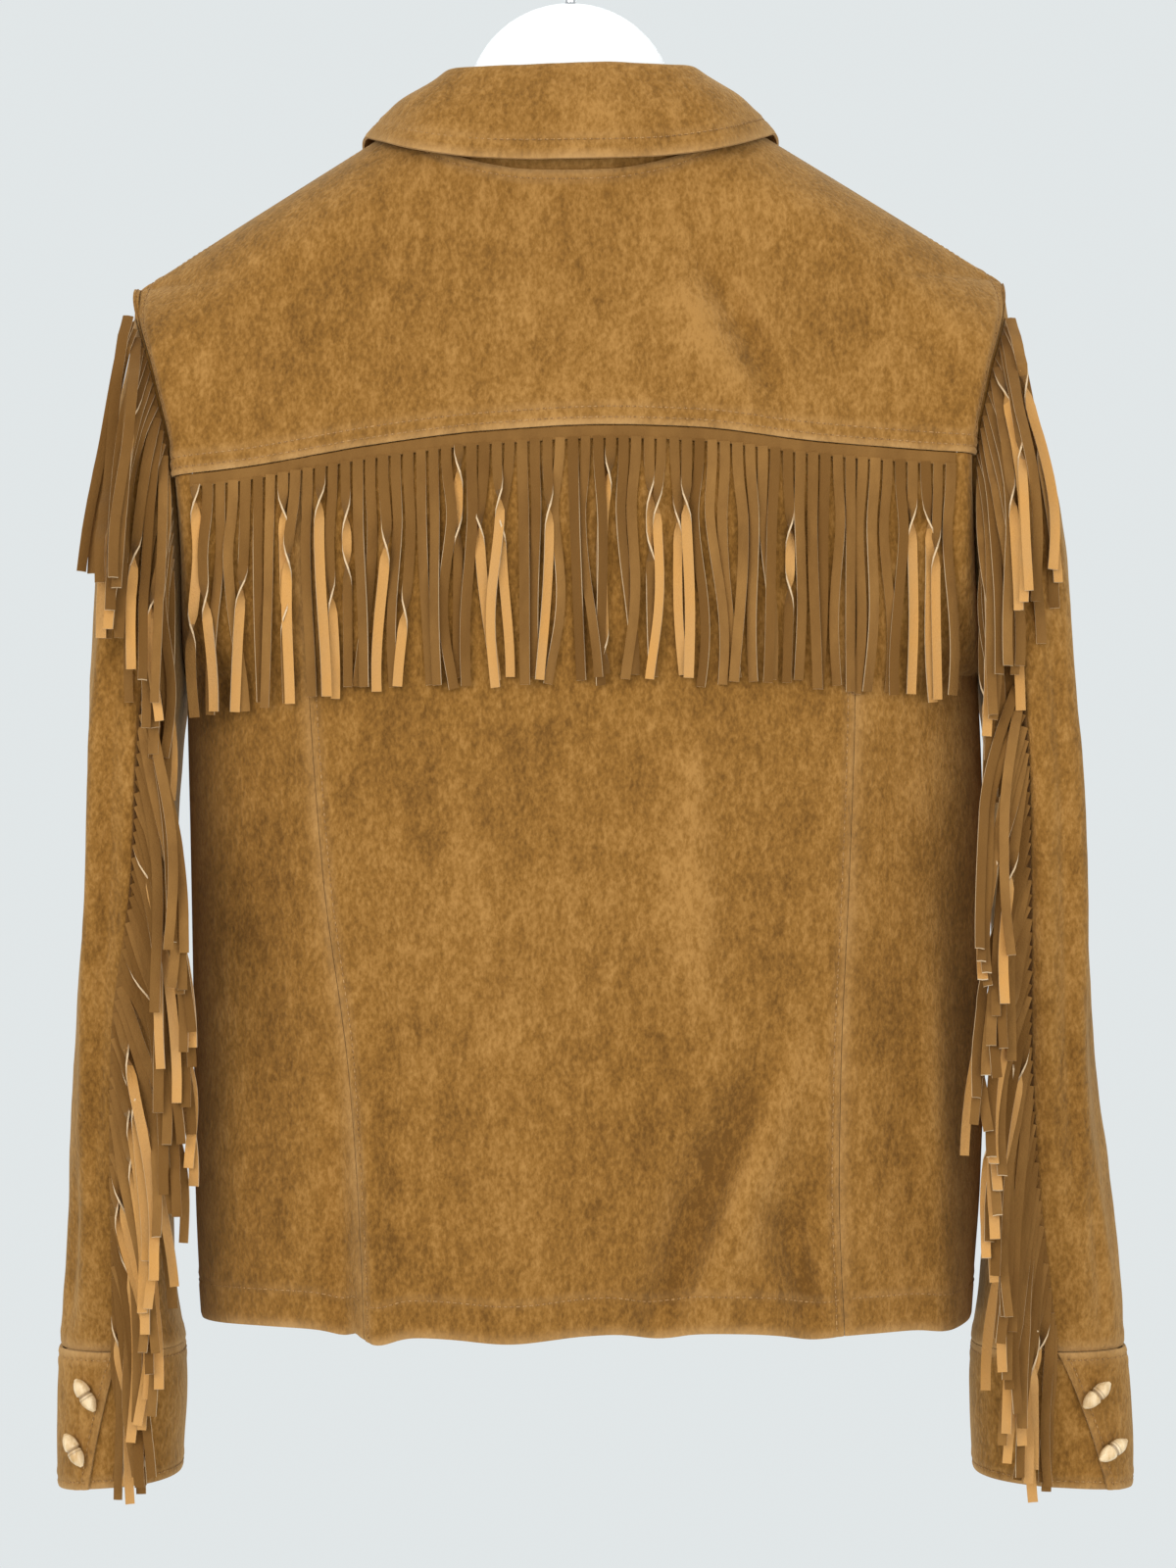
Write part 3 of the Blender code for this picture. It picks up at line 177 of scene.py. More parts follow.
# A sleeve at each height: its line nearest the body, its outer line, half depth, middle depth,
# and where its back seam runs
SLEEVE = table(
    "z in_left in_right out_left out_right depth middle seam_left seam_right",
    (-0.734, 0.1935, 0.2015, 0.2545, 0.2768, 0.037, -0.006, 0.2225, 0.2380),
    (-0.700, 0.1985, 0.2060, 0.2520, 0.2745, 0.044, -0.006, 0.2220, 0.2330),
    (-0.650, 0.2000, 0.2095, 0.2495, 0.2685, 0.051, -0.005, 0.2220, 0.2268),
    (-0.583, 0.2005, 0.2125, 0.2460, 0.2605, 0.058, -0.004, 0.2205, 0.2222),
    (-0.500, 0.1990, 0.2120, 0.2405, 0.2560, 0.066, -0.002, 0.2095, 0.2205),
    (-0.430, 0.1955, 0.2080, 0.2380, 0.2510, 0.072, 0.000, 0.2055, 0.2180),
    (-0.402, 0.1914, 0.2034, 0.2370, 0.2490, 0.072, 0.000, 0.2025, 0.2135),
    (-0.360, 0.1900, 0.1980, 0.2355, 0.2465, 0.069, 0.000, 0.1940, 0.2010),
    (-0.300, 0.1930, 0.1960, 0.2320, 0.2400, 0.060, 0.000, 0.1950, 0.1980),
    (-0.260, 0.2015, 0.2025, 0.2280, 0.2330, 0.048, 0.000, 0.2030, 0.2040),
    (-0.230, 0.2095, 0.2095, 0.2230, 0.2250, 0.032, 0.000, 0.2100, 0.2100),
    (-0.205, 0.2154, 0.2154, 0.2170, 0.2170, 0.010, 0.000, 0.2150, 0.2150),
)

# The rings of a sleeve: height on its outer line, height on its line nearest the body, and how
# far the armhole's shape has opened into the sleeve's own section
SLEEVE_RINGS = table(
    "number top low opened",
    (0, -0.2070, -0.4020, 0.00),
    (1, -0.2160, -0.4080, 0.30),
    (2, -0.2350, -0.4180, 0.62),
    (3, -0.2700, -0.4330, 0.86),
    (4, -0.3200, -0.4550, 1.00),
    (5, -0.4000, -0.4950, 1.00),
    (6, -0.5000, -0.5500, 1.00),
    (7, -0.5900, -0.6100, 1.00),
    (8, -0.6700, -0.6700, 1.00),
    (9, -0.7130, -0.7130, 1.00),
    (10, -0.7340, -0.7340, 1.00),
)

# A cuff at each height, in the same columns as the sleeve
CUFF = table(
    "z in_left in_right out_left out_right depth middle",
    (-0.810, 0.1960, 0.2040, 0.2535, 0.2790, 0.0350, -0.006),
    (-0.785, 0.1940, 0.2015, 0.2545, 0.2795, 0.0360, -0.006),
    (-0.755, 0.1925, 0.2005, 0.2548, 0.2785, 0.0368, -0.006),
    (-0.734, 0.1935, 0.2015, 0.2545, 0.2768, 0.0370, -0.006),
)

# The collar from the middle of the back, 0, to its front end, 1: where it leaves the neckline,
# its fold, and its free edge. The neckline is given by its x, and by 1 behind or -1 in front.
COLLAR = table(
    "station neck_x face fold_x fold_y fold_z edge_x edge_y edge_z",
    (0.00, 0.000, 1, 0.000, 0.0400, -0.1030, 0.000, 0.0570, -0.1520),
    (0.12, 0.022, 1, 0.022, 0.0395, -0.1032, 0.024, 0.0570, -0.1520),
    (0.24, 0.045, 1, 0.044, 0.0350, -0.1030, 0.050, 0.0550, -0.1505),
    (0.34, 0.064, 1, 0.057, 0.0260, -0.1018, 0.077, 0.0490, -0.1455),
    (0.44, 0.079, 1, 0.062, 0.0130, -0.1018, 0.095, 0.0270, -0.1375),
    (0.52, 0.085, 1, 0.063, 0.0000, -0.1035, 0.102, 0.0020, -0.1325),
    (0.60, 0.081, -1, 0.061, -0.0130, -0.1090, 0.104, -0.0210, -0.1380),
    (0.70, 0.070, -1, 0.054, -0.0270, -0.1230, 0.100, -0.0440, -0.1560),
    (0.82, 0.050, -1, 0.041, -0.0420, -0.1490, 0.090, -0.0570, -0.1880),
    (0.92, 0.026, -1, 0.024, -0.0530, -0.1830, 0.074, -0.0660, -0.2260),
    (1.00, 0.005, -1, 0.006, -0.0600, -0.2120, 0.058, -0.0700, -0.2580),
)

# The yoke fringe at each distance across: height of its tips
YOKE_TIPS = table(
    "x z",
    (-0.195, -0.4130),
    (-0.150, -0.4120),
    (-0.100, -0.4070),
    (-0.030, -0.4050),
    (0.060, -0.4070),
    (0.120, -0.4120),
    (0.160, -0.4190),
    (0.195, -0.4270),
)

# The fringes down the armholes and the sleeves' back seams, at each height of a strand's root:
# how far its tip lies outwards from the root to the side, how far it stands off, and its drop
ARMHOLE_FRINGE = table(
    "z side_left side_right off drop",
    (-0.225, 0.0240, 0.0300, 0.0120, 0.128),
    (-0.290, 0.0235, 0.0250, 0.0170, 0.122),
    (-0.362, 0.0180, 0.0180, 0.0220, 0.115),
)
SLEEVE_FRINGE = table(
    "z side_left side_right off drop",
    (-0.405, -0.0200, -0.0200, 0.0130, 0.120),
    (-0.500, -0.0270, -0.0260, 0.0130, 0.120),
    (-0.600, -0.0260, -0.0240, 0.0150, 0.120),
    (-0.680, -0.0140, -0.0140, 0.0190, 0.112),
    (-0.731, -0.0060, -0.0080, 0.0160, 0.070),
)


def read(rows, column, key):
    """The value of a column at a key, on a smooth curve that never overshoots its rows."""
    knots, values = rows["key"], rows[column]
    key = np.clip(key, knots[0], knots[-1])
    run = np.diff(knots)
    rise = np.diff(values) / run
    turn = rise[:-1] * rise[1:]
    total = rise[:-1] + rise[1:]
    safe = np.where(total == 0, 1, total)
    inner = np.where(turn > 0, 2 * turn / safe, 0)
    slope = np.concatenate([rise[:1], inner, rise[-1:]])
    i = np.clip(np.searchsorted(knots, key, side="right") - 1, 0, len(run) - 1)
    s = (key - knots[i]) / run[i]
    start = values[i] * (1 + 2 * s) * (1 - s) ** 2 + run[i] * slope[i] * s * (1 - s) ** 2
    end = values[i + 1] * s * s * (3 - 2 * s) - run[i] * slope[i + 1] * s * s * (1 - s)
    return start + end


def by_side(rows, name, z, sign):
    """A column pair such as left and right, chosen by the sign of x."""
    return np.where(sign > 0, read(rows, name + "left", z), read(rows, name + "right", z))


def ease(value):
    value = np.clip(value, 0, 1)
    return value * value * (3 - 2 * value)


def unit(vectors):
    return vectors / np.linalg.norm(vectors, axis=-1, keepdims=True)


def blend(a, b, share):
    return a + (b - a) * share


def power(value, exponent):
    return np.sign(value) * np.abs(value) ** exponent


def ridge(x):
    """Height of the shoulder line."""
    return NECK_TOP - SHOULDER_FALL * (np.abs(x) - NECK_HALF) - LEAN * x


def armhole_top(sign):
    return ridge(sign * SHOULDER_HALF)


def armhole_depth(z, sign):
    """Half depth of the armhole at a height, from the shoulder tip to the underarm."""
    middle = (armhole_top(sign) + UNDERARM) / 2
    half = (armhole_top(sign) - UNDERARM) / 2
    return ARMHOLE_HALF * np.sqrt(np.clip(1 - ((z - middle) / half) ** 2, 0, 1))


def fold_height(x, z):
    """How far the folds lift the back at a place."""
    lift = np.zeros(np.broadcast(x, z).shape)
    for row in FOLDS:
        share = np.clip((row["z_top"] - z) / (row["z_top"] - row["z_end"]), 0, 1.1)
        line = blend(row["x_top"], row["x_end"], share)
        swell = np.exp(-(((x - line) / row["half_width"]) ** 2))
        fade = ease(share / 0.6)
        if row["z_end"] > UNDERARM:
            fade = np.sin(np.pi * np.clip(share, 0, 1))
        lift = lift + row["height"] * swell * fade
    return lift


SOFT_SIDE = 1.7  # a crease is wider by this on one side
DIP_BESIDE = 0.3  # share of a crease's height that the cloth dips by beside it
PUCKER = 0.0008
BODY_UNEVEN = ((0.0011, 0.8, 0.055, 0.0), (0.0004, 1.0, 0.020, 1.0))
SLEEVE_UNEVEN = ((0.0012, 0.7, 0.045, 2.0), (0.0004, 1.0, 0.018, 4.0))
COLLAR_UNEVEN = ((0.0009, 1.0, 0.040, 5.0), (0.0004, 1.0, 0.015, 6.0))

# Creases of the cloth between two places: half width and height outwards. face is 1 behind and
# -1 in front.
CREASES = records(
    "face x_a z_a x_b z_b half_width height",
    (1, -0.0628, -0.1955, -0.1005, -0.2680, 0.0060, -0.0046),
    (1, -0.0560, -0.2050, -0.0900, -0.2700, 0.0080, 0.0032),
    (1, -0.0906, -0.1625, -0.1480, -0.1800, 0.0080, 0.0014),
    (1, 0.0900, -0.1640, 0.1500, -0.1980, 0.0110, 0.0012),
    (1, 0.1250, -0.1900, 0.1150, -0.2600, 0.0140, -0.0010),
    (1, -0.1000, -0.5750, -0.0440, -0.7200, 0.0065, -0.0050),
    (1, -0.1080, -0.6000, -0.0620, -0.7250, 0.0100, 0.0036),
    (1, -0.1029, -0.6500, -0.1184, -0.7200, 0.0055, -0.0036),
    (1, -0.0557, -0.4300, -0.0660, -0.5900, 0.0090, 0.0026),
    (1, -0.1760, -0.4900, -0.1800, -0.6500, 0.0080, 0.0026),
    (1, -0.1650, -0.5300, -0.1700, -0.6900, 0.0080, -0.0020),
    (1, 0.0880, -0.5600, 0.0860, -0.7250, 0.0060, -0.0020),
    (1, 0.0300, -0.5900, 0.0120, -0.7220, 0.0130, 0.0012),
    (1, 0.1500, -0.4400, 0.1420, -0.6500, 0.0130, -0.0014),
    (1, 0.1700, -0.5200, 0.1660, -0.7000, 0.0100, 0.0013),
    (1, -0.1120, -0.3900, -0.1000, -0.5600, 0.0120, -0.0010),
    (1, 0.0850, -0.3950, 0.0680, -0.4900, 0.0100, -0.0009),
    (-1, 0.0750, -0.1950, 0.1250, -0.2700, 0.0080, -0.0022),
    (-1, -0.0800, -0.1950, -0.1200, -0.2800, 0.0090, -0.0020),
    (-1, 0.1450, -0.2500, 0.1200, -0.3800, 0.0110, 0.0020),
    (-1, -0.1500, -0.2600, -0.1300, -0.3900, 0.0110, 0.0018),
    (-1, 0.0900, -0.5200, 0.0780, -0.7200, 0.0100, 0.0028),
    (-1, 0.1250, -0.5600, 0.1180, -0.7200, 0.0090, -0.0024),
    (-1, -0.0850, -0.5000, -0.0960, -0.7200, 0.0110, 0.0026),
    (-1, -0.1200, -0.5400, -0.1260, -0.7200, 0.0080, -0.0022),
    (-1, 0.0550, -0.3000, 0.0600, -0.4600, 0.0120, -0.0014),
    (-1, -0.0500, -0.3200, -0.0560, -0.5000, 0.0130, -0.0012),
    (-1, 0.1600, -0.4300, 0.1520, -0.6000, 0.0100, -0.0016),
    (-1, -0.1640, -0.4400, -0.1600, -0.6200, 0.0110, 0.0016),
    (1, 0.1560, -0.2250, 0.1900, -0.2620, 0.0070, 0.0011),
    (1, -0.1620, -0.2200, -0.1930, -0.2620, 0.0070, -0.0012),
)


def crease_lift(row, across, up):
    """The lift of one crease: a swell along its line that fades at both ends, a dip beside it."""
    run = np.array([row["x_b"] - row["x_a"], row["z_b"] - row["z_a"]])
    length = np.linalg.norm(run)
    x, z = across - row["x_a"], up - row["z_a"]
    along = np.clip((x * run[0] + z * run[1]) / length**2, 0, 1)
    aside = (x * run[1] - z * run[0]) / length
    beyond = np.hypot(x - along * run[0], z - along * run[1])
    wide = row["half_width"] * np.where(aside > 0, 1.0, SOFT_SIDE)
    fade = np.sin(np.pi * np.clip(along, 0.02, 0.98)) ** 0.7
    dip = DIP_BESIDE * np.exp(-(((beyond - 2 * wide) / wide) ** 2))
    return row["height"] * (np.exp(-((beyond / wide) ** 2)) - dip) * fade


def creases(face, x, z):
    """The lift of all the creases on one face."""
    return sum(crease_lift(row, x, z) for row in CREASES if row["face"] == face)


def ripple(x, y, z, size, seed):
    """Smooth noise between -1 and 1 whose lumps are about this size."""
    x, y, z = np.broadcast_arrays(x, y, z)
    flat = zip(x.ravel() / size, y.ravel() / size + seed, z.ravel() / size)
    return np.array([noise.noise(Vector(place)) for place in flat]).reshape(x.shape)


def unevenness(layers, x, y, z):
    """Soft lumps in layers: height, how far they are drawn out along z, size and seed."""
    return sum(height * ripple(x, y, z * drawn, size, seed) for height, drawn, size, seed in layers)


def pucker(x, z, line, reach, size, seed):
    """Small gathers beside a seam that runs across."""
    return PUCKER * np.exp(-(((z - line) / reach) ** 2)) * ripple(x, 0, z * 0.25, size, seed)


def relief(face, x, z):
    """How far folds, creases and soft unevenness lift the cloth at a place."""
    lift = creases(face, x, z) + pucker(x, z, HEM, 0.018, 0.016, 7.0)
    if face > 0:
        lift = lift + fold_height(x, z) + pucker(x, z, read(YOKE_SEAM, "z", x), 0.014, 0.009, 3.0)
    return lift + unevenness(BODY_UNEVEN, x, face, z)


def body_depth(face, x, z):
    """Depth of the body's outer surface at a place, before it rounds over the shoulders."""
    sign = np.sign(x)
    width = by_side(BODY, "", z, sign)
    side = np.where(z < UNDERARM + GAP, 0, armhole_depth(z, sign))
    depth = read(BODY, "back" if face > 0 else "front", z)
    share = np.clip(np.abs(x) / width, 0, 1)
    along = (1 - share**SQUARE) ** (1 / SQUARE)
    return depth * along + side * share**SIDE_REACH + relief(face, x, z) * np.clip(4 * along, 0, 1)


def rounded(drop):
    """Share of the full depth at a drop below the shoulder line."""
    share = np.clip(drop / ROUND_OVER, 0, 1)
    return np.sqrt(1 - (1 - share) ** 2)


def across(f, z):
    """x at a share f across the body, from -1 at the right side line to 1 at the left."""
    return power(np.sin(f * math.pi / 2), 2 / SQUARE) * by_side(BODY, "", z, np.sign(f))


def share_across(x, z):
    """The inverse of across."""
    share = np.clip(np.abs(x) / by_side(BODY, "", z, np.sign(x)), 0, 1)
    return np.sign(x) * np.arcsin(share ** (SQUARE / 2)) * 2 / math.pi


def body_point(face, f, z):
    x = across(f, z)
    y = body_depth(face, x, z) * rounded(ridge(x) - z) + GAP / 2
    return np.stack([x, face * y, z + 0 * x], axis=-1)


def body_normal(face, f, z):
    step, rise = 0.001, 0.0005
    top = np.minimum(z + rise, ridge(across(f, z)))
    ahead, behind = np.clip(f + step, -1, 1), np.clip(f - step, -1, 1)
    along = body_point(face, ahead, z) - body_point(face, behind, z)
    up = body_point(face, f, np.maximum(top, z)) - body_point(face, f, z - rise)
    normal = unit(np.cross(up, along) * face)
    at_line = (np.abs(f) > 0.999) & (z < UNDERARM) | (z > ridge(across(f, z)) - 1e-6)
    normal[..., 1] = np.where(at_line, 0, normal[..., 1])
    return unit(normal)


ARMHOLE_FACING = 0.55  # how far the wall at the armhole faces outwards, against round the armhole


def armhole_normal(face, f, z):
    """At the armhole, the direction that both the body and the sleeve take their wall from."""
    sign = np.sign(f)
    middle = (armhole_top(sign) + UNDERARM) / 2
    half = (armhole_top(sign) - UNDERARM) / 2
    up = np.clip((z - middle) / half, -1, 1)
    across = ARMHOLE_FACING * sign * np.ones_like(z)
    return unit(np.stack([across, face * np.sqrt(1 - up**2), np.clip(up, -0.1, 1)], axis=-1))


def grid_faces(rows, columns, start, loop):
    """Quads over a grid of points, with its last column joined to its first on a loop."""
    faces = []
    for r in range(rows - 1):
        for c in range(columns if loop else columns - 1):
            d = (c + 1) % columns
            corners = (r * columns + c, r * columns + d, (r + 1) * columns + d, (r + 1) * columns + c)
            faces.append(tuple(start + corner for corner in corners))
    return faces


def hem(x):
    """Height of the hem, which dips where a fold stands out."""
    return HEM - 0.5 * np.abs(fold_height(x, HEM)) - 0.0015 * np.sin(x * 34)


def end_of_columns(line, edges, inside):
    """The height at which each column of a panel meets a line that is given across."""
    z = np.full(inside.shape, -0.4)
    for _ in range(8):
        low, high = edges(z)
        z = line(across(blend(low, high, inside), z))
    return z


def back_top(x):
    neck = read(BACK_NECK, "z", np.abs(x)) - LEAN * x
    return np.where(np.abs(x) < NECK_HALF, neck, ridge(x))


def front_top(x):
    share = np.clip(np.abs(x) / NECK_HALF, 0, 1)
    neck = FRONT_NECK + (NECK_TOP - FRONT_NECK) * share**2.4 - LEAN * x
    return np.where(np.abs(x) < NECK_HALF, neck, ridge(x))


def yoke_bottom(x):
    return read(YOKE_SEAM, "z", x) + GAP / 2


def lower_top(x):
    return read(YOKE_SEAM, "z", x) - GAP / 2


def seam_share(z, sign, shift):
    x = by_side(PRINCESS, "", z, np.full(np.shape(z), sign)) * sign + shift
    return share_across(x, z)


NECK_CORNER = float(share_across(np.array(NECK_HALF), np.array(-0.2)))
NECK_SHARES = np.array([NECK_CORNER, 0.14, 0.07, 0.0, -0.07])


def front_overlap(f):
    """How far the right front stands off where it lies over the left."""
    return (WALL + 2 * GAP) * ease((f + 0.14) / 0.06)


CLOSURE = float(share_across(np.array(CLOSURE_HALF), np.array(-0.4)))


# Sleeves and cuffs

def section(z, sign, turn):
    """A point of the sleeve's own section: turn 0 is its outer line, half a turn is next to the body."""
    inner = by_side(SLEEVE, "in_", z, sign)
    outer = by_side(SLEEVE, "out_", z, sign)
    share = (1 + power(np.cos(turn), 2 / SQUARE)) / 2
    x = blend(inner, outer, share) * sign
    y = read(SLEEVE, "middle", z) + read(SLEEVE, "depth", z) * power(np.sin(turn), 2 / SQUARE)
    return x, y


def sleeve_grid(sign, rings, turns):
    """Points of a sleeve for ring numbers, which may lie between the table's, and angles."""
    top = read(SLEEVE_RINGS, "top", rings)[:, None]
    low = read(SLEEVE_RINGS, "low", rings)[:, None]
    opened = read(SLEEVE_RINGS, "opened", rings)[:, None]
    cosine = np.cos(turns)[None, :]
    top = np.where(rings[:, None] == 0, armhole_top(sign), top)
    z = (top + low) / 2 + (top - low) / 2 * cosine
    own_x, own_y = section(z, sign, turns[None, :])
    seam_x = np.where(z > UNDERARM, by_side(BODY, "", z, sign), by_side(SLEEVE, "in_", z, sign)) * sign
    seam_x = seam_x + sign * SLEEVE_GAP
    seam_y = armhole_depth(z, sign) * np.sign(np.sin(turns))[None, :]
    seam_y = np.where(rings[:, None] == 0, seam_y, ARMHOLE_HALF * np.sin(turns)[None, :])
    x = blend(seam_x, own_x, opened)
    y = blend(seam_y, own_y, opened)
    return np.stack([x, y, z], axis=-1)


def loop_normals(points, sign):
    """Outward normals of a tube whose rows run down it and whose columns run round it."""
    along = np.roll(points, -1, axis=1) - np.roll(points, 1, axis=1)
    down = np.gradient(points, axis=0)
    return unit(np.cross(down, along) * sign)


def sheet_normals(points, middle):
    """Normals of an open sheet, facing away from a point on the whole."""
    normals = unit(np.cross(np.gradient(points, axis=0), np.gradient(points, axis=1)))
    return normals * np.sign((normals * (points - middle)).sum())


CUFF_EDGE = {1: (1.62, 1.22), -1: (1.57, 1.00)}  # angle of the overlap's free edge, top and bottom
CUFF_OVERLAP = 0.95
CUFF_LIFT_PAST = 0.55  # how far round the overlap's lift goes on past it, and fades over what angle
CUFF_LIFT_FADE = 0.5


def cuff_point(sign, turn, fall, lift):
    """A point of a cuff's outer surface at an angle and a share of its height."""
    inward = (1 - np.cos(turn)) / 2
    height = CUFF_HEIGHT - CUFF_TILT * inward
    z = SLEEVE_END - GAP - fall * height
    inner = by_side(CUFF, "in_", z, sign)
    outer = by_side(CUFF, "out_", z, sign)
    x = sign * blend(inner, outer, (1 + power(np.cos(turn), 2 / SQUARE)) / 2)
    y = read(CUFF, "middle", z) + read(CUFF, "depth", z) * power(np.sin(turn), 2 / SQUARE)
    middle = sign * (inner + outer) / 2
    away = unit(np.stack([x - middle, y - read(CUFF, "middle", z), 0 * x], axis=-1))
    return np.stack([x, y, z], axis=-1) + away * np.asarray(lift)[..., None]


def cuff_lift(edge, turn):
    """The overlap stands off by the cloth under it, and comes back to the section past it."""
    return (WALL + 2 * GAP) * ease((turn - (edge - CUFF_OVERLAP - CUFF_LIFT_PAST)) / CUFF_LIFT_FADE)


# Share of each cuff's height, angle round it, and slope of the toggle that lies there
CUFF_TOGGLES = records(
    "fall turn_left slope_left turn_right slope_right",
    (0.30, 1.24, -0.95, 1.20, 0.66),
    (0.70, 1.06, -0.90, 1.00, 0.42),
)
FRONT_TOGGLES = (-0.262, -0.360, -0.458, -0.556, -0.654)


# Collar

STAND_UP = 0.011
NECK_SEAM = 0.0008


def neck_edge(station, sign):
    """The outer edge of the body's neckline at a station, straight between the panels' points."""
    x = float(read(COLLAR, "neck_x", station))
    face = 1 if read(COLLAR, "face", station) > 0 else -1
    top = back_top if face > 0 else front_top
    share = share_across(np.array(x), np.array(-0.2))
    first = max(int(np.searchsorted(-NECK_SHARES, -share)), 1) - 1
    ends = []
    for f in NECK_SHARES[first : first + 2]:
        f = np.array([sign * f])
        z = end_of_columns(top, lambda height: (f, f), np.zeros(1))
        lift = front_overlap(f) if face < 0 and sign < 0 else 0
        ends.append((across(f, z)[0], body_point(face, f, z)[0] + body_normal(face, f, z)[0] * lift))
    share = (sign * x - ends[0][0]) / (ends[1][0] - ends[0][0])
    return blend(ends[0][1], ends[1][1], share)


def collar_columns():
    """(station, side) of each column, from the right front end round the back to the left."""
    stations = COLLAR["key"]
    return [(station, -1) for station in stations[::-1]] + [(station, 1) for station in stations[1:]]


def collar_place(name, station, sign):
    x, y, z = (read(COLLAR, name + axis, station) for axis in ("_x", "_y", "_z"))
    return np.array([sign * x, y, z - LEAN * sign * x])


ARMHOLE_STRIP = 0.0044  # the armhole strip's middle, outwards from the armhole
ARMHOLE_SPAN = (-0.2320, -0.362)  # heights between which the strands are rooted
SLEEVE_SPAN = (-0.407, -0.731)
YOKE_ENDS = (-0.1845, 0.1855)  # the first strand's middle, and a place past the last one's
SEAM_STEPS = 160


# Share of a toggle's half length, and of its half width, along its turned profile
TOGGLE_PROFILE = table(
    "along out",
    (-0.96, 0.22),
    (-0.78, 0.62),
    (-0.45, 0.93),
    (-0.14, 1.00),
    (-0.04, 0.80),
    (0.06, 0.97),
    (0.40, 0.95),
    (0.74, 0.64),
    (0.96, 0.24),
)


ARM_CLEAR = 0.0009  # the faceted cloth between its points dips towards the arm
ARM_THIN = 0.0050
ARM_HALF = 0.0145
ARM_SINK = 0.006  # how much lower the arms run where they pass under the neckline
ARM_ROUND = 0.8  # the arm's top is rounder than the cloth over it by this share
ARM_NARROW = 0.083  # where the arms start to widen, and over what reach
ARM_WIDENS = 0.042
ARM_RISES = 0.112  # where the arms reach the shoulders, and over what reach
ARM_RISE = 0.027
ARM_LEAST = 0.016  # least height of a section
ARM_DEPTH_AT = 0.008  # below the shoulder line, where the arms read the body's depth
ARM_START = 0.058
ARM_CORNER = 0.004
PLATE_END = 0.0512
PLATE_HALF = 0.0055
PLATE_CORNER = 0.0022


def hanger_top(x):
    """Height of the hanger's top line: a dome at the neck, then arms under the shoulders."""
    dome = DOME_TOP - DOME_RADIUS + np.sqrt(np.clip(DOME_RADIUS**2 - x**2, 0, None))
    sink = ARM_SINK * ease((ARM_RISES - np.abs(x)) / ARM_RISE)
    arm = ridge(x) - sink
    return np.where(np.abs(x) < DOME_RADIUS * 0.98, np.maximum(dome, arm), arm)


# Materials

NAP_DARK = (0.115, 0.048, 0.007, 1)
NAP = (0.212, 0.095, 0.017, 1)
NAP_LIGHT = (0.325, 0.162, 0.042, 1)
NAP_WORN = (0.430, 0.250, 0.100, 1)
STRAND_NAP = (0.160, 0.073, 0.016, 1)
STRAND_SKIN = (0.500, 0.245, 0.062, 1)
STRAND_CUT = (0.560, 0.400, 0.235, 1)
THREAD = (0.430, 0.235, 0.080, 1)
TOGGLE_DARK = (0.480, 0.290, 0.110, 1)
TOGGLE_LIGHT = (0.800, 0.620, 0.380, 1)
PLATE = (0.800, 0.820, 0.830, 1)
WIRE = (0.720, 0.730, 0.740, 1)
FLOOR = (0.640, 0.670, 0.700, 1)
FLOOR_CLOUD = (0.600, 0.630, 0.660, 1)
GROOVE = (0.100, 0.045, 0.015, 1)
PLATE_CLOUD = (0.700, 0.720, 0.740, 1)
WIRE_DARK = (0.520, 0.530, 0.540, 1)
SHEEN = (1.000, 0.700, 0.360, 1)
STRAND_SHEEN = (1.000, 0.720, 0.400, 1)
WALL_COLOUR = (0.755, 0.795, 0.805, 1)


class Nodes:
    """A material's node tree with short calls for what the materials here share."""

    def __init__(self, name):
        self.material = bpy.data.materials.new(name)
        self.material.use_nodes = True
        self.nodes = self.material.node_tree.nodes
        self.place = self.nodes.new("ShaderNodeTexCoord").outputs["Object"]

    def put(self, node, inputs):
        """Sets or links a node's inputs, given by name or number, and returns its outputs."""
        for name, value in inputs.items():
            if isinstance(value, bpy.types.NodeSocket):
                self.material.node_tree.links.new(value, node.inputs[name])
            else:
                node.inputs[name].default_value = value
        return node.outputs

    def noise(self, scale, detail=3.0, rough=0.55, stretch=(1, 1, 1), turn=0.0):
        mapping = {"Scale": stretch, "Rotation": (0, turn, 0), "Vector": self.place}
        place = self.put(self.nodes.new("ShaderNodeMapping"), mapping)["Vector"]
        inputs = {"Scale": scale, "Detail": detail, "Roughness": rough, "Vector": place}
        return self.put(self.nodes.new("ShaderNodeTexNoise"), inputs)["Fac"]

    def attribute(self, name):
        node = self.nodes.new("ShaderNodeAttribute")
        node.attribute_name = name
        return node.outputs["Fac"]

    def math(self, kind, a, b):
        node = self.nodes.new("ShaderNodeMath")
        node.operation = kind
        return self.put(node, {0: a, 1: b})["Value"]

    def total(self, *parts):
        """The sum of values, each times its share."""
        found = 0.0
        for share, value in parts:
            found = self.math("ADD", found, self.math("MULTIPLY", value, share))
        return found

    def spread(self, value, low, high, to_low=0.0, to_high=1.0):
        ends = {"From Min": low, "From Max": high, "To Min": to_low, "To Max": to_high}
        return self.put(self.nodes.new("ShaderNodeMapRange"), {"Value": value, **ends})["Result"]

    def mix(self, share, a, b):
        node = self.nodes.new("ShaderNodeMix")
        node.data_type = "RGBA"
        return self.put(node, {"Factor": share, 6: a, 7: b})[2]

    def bump(self, height, strength, distance, before=None):
        inputs = {"Strength": strength, "Distance": distance, "Height": height}
        if before is not None:
            inputs["Normal"] = before
        return self.put(self.nodes.new("ShaderNodeBump"), inputs)["Normal"]

    def finish(self, colour, rough, normal, **constants):
        inputs = {"Base Color": colour, "Roughness": rough, "Normal": normal}
        inputs.update((name.replace("_", " "), value) for name, value in constants.items())
        self.put(self.nodes["Principled BSDF"], inputs)
        return self.material


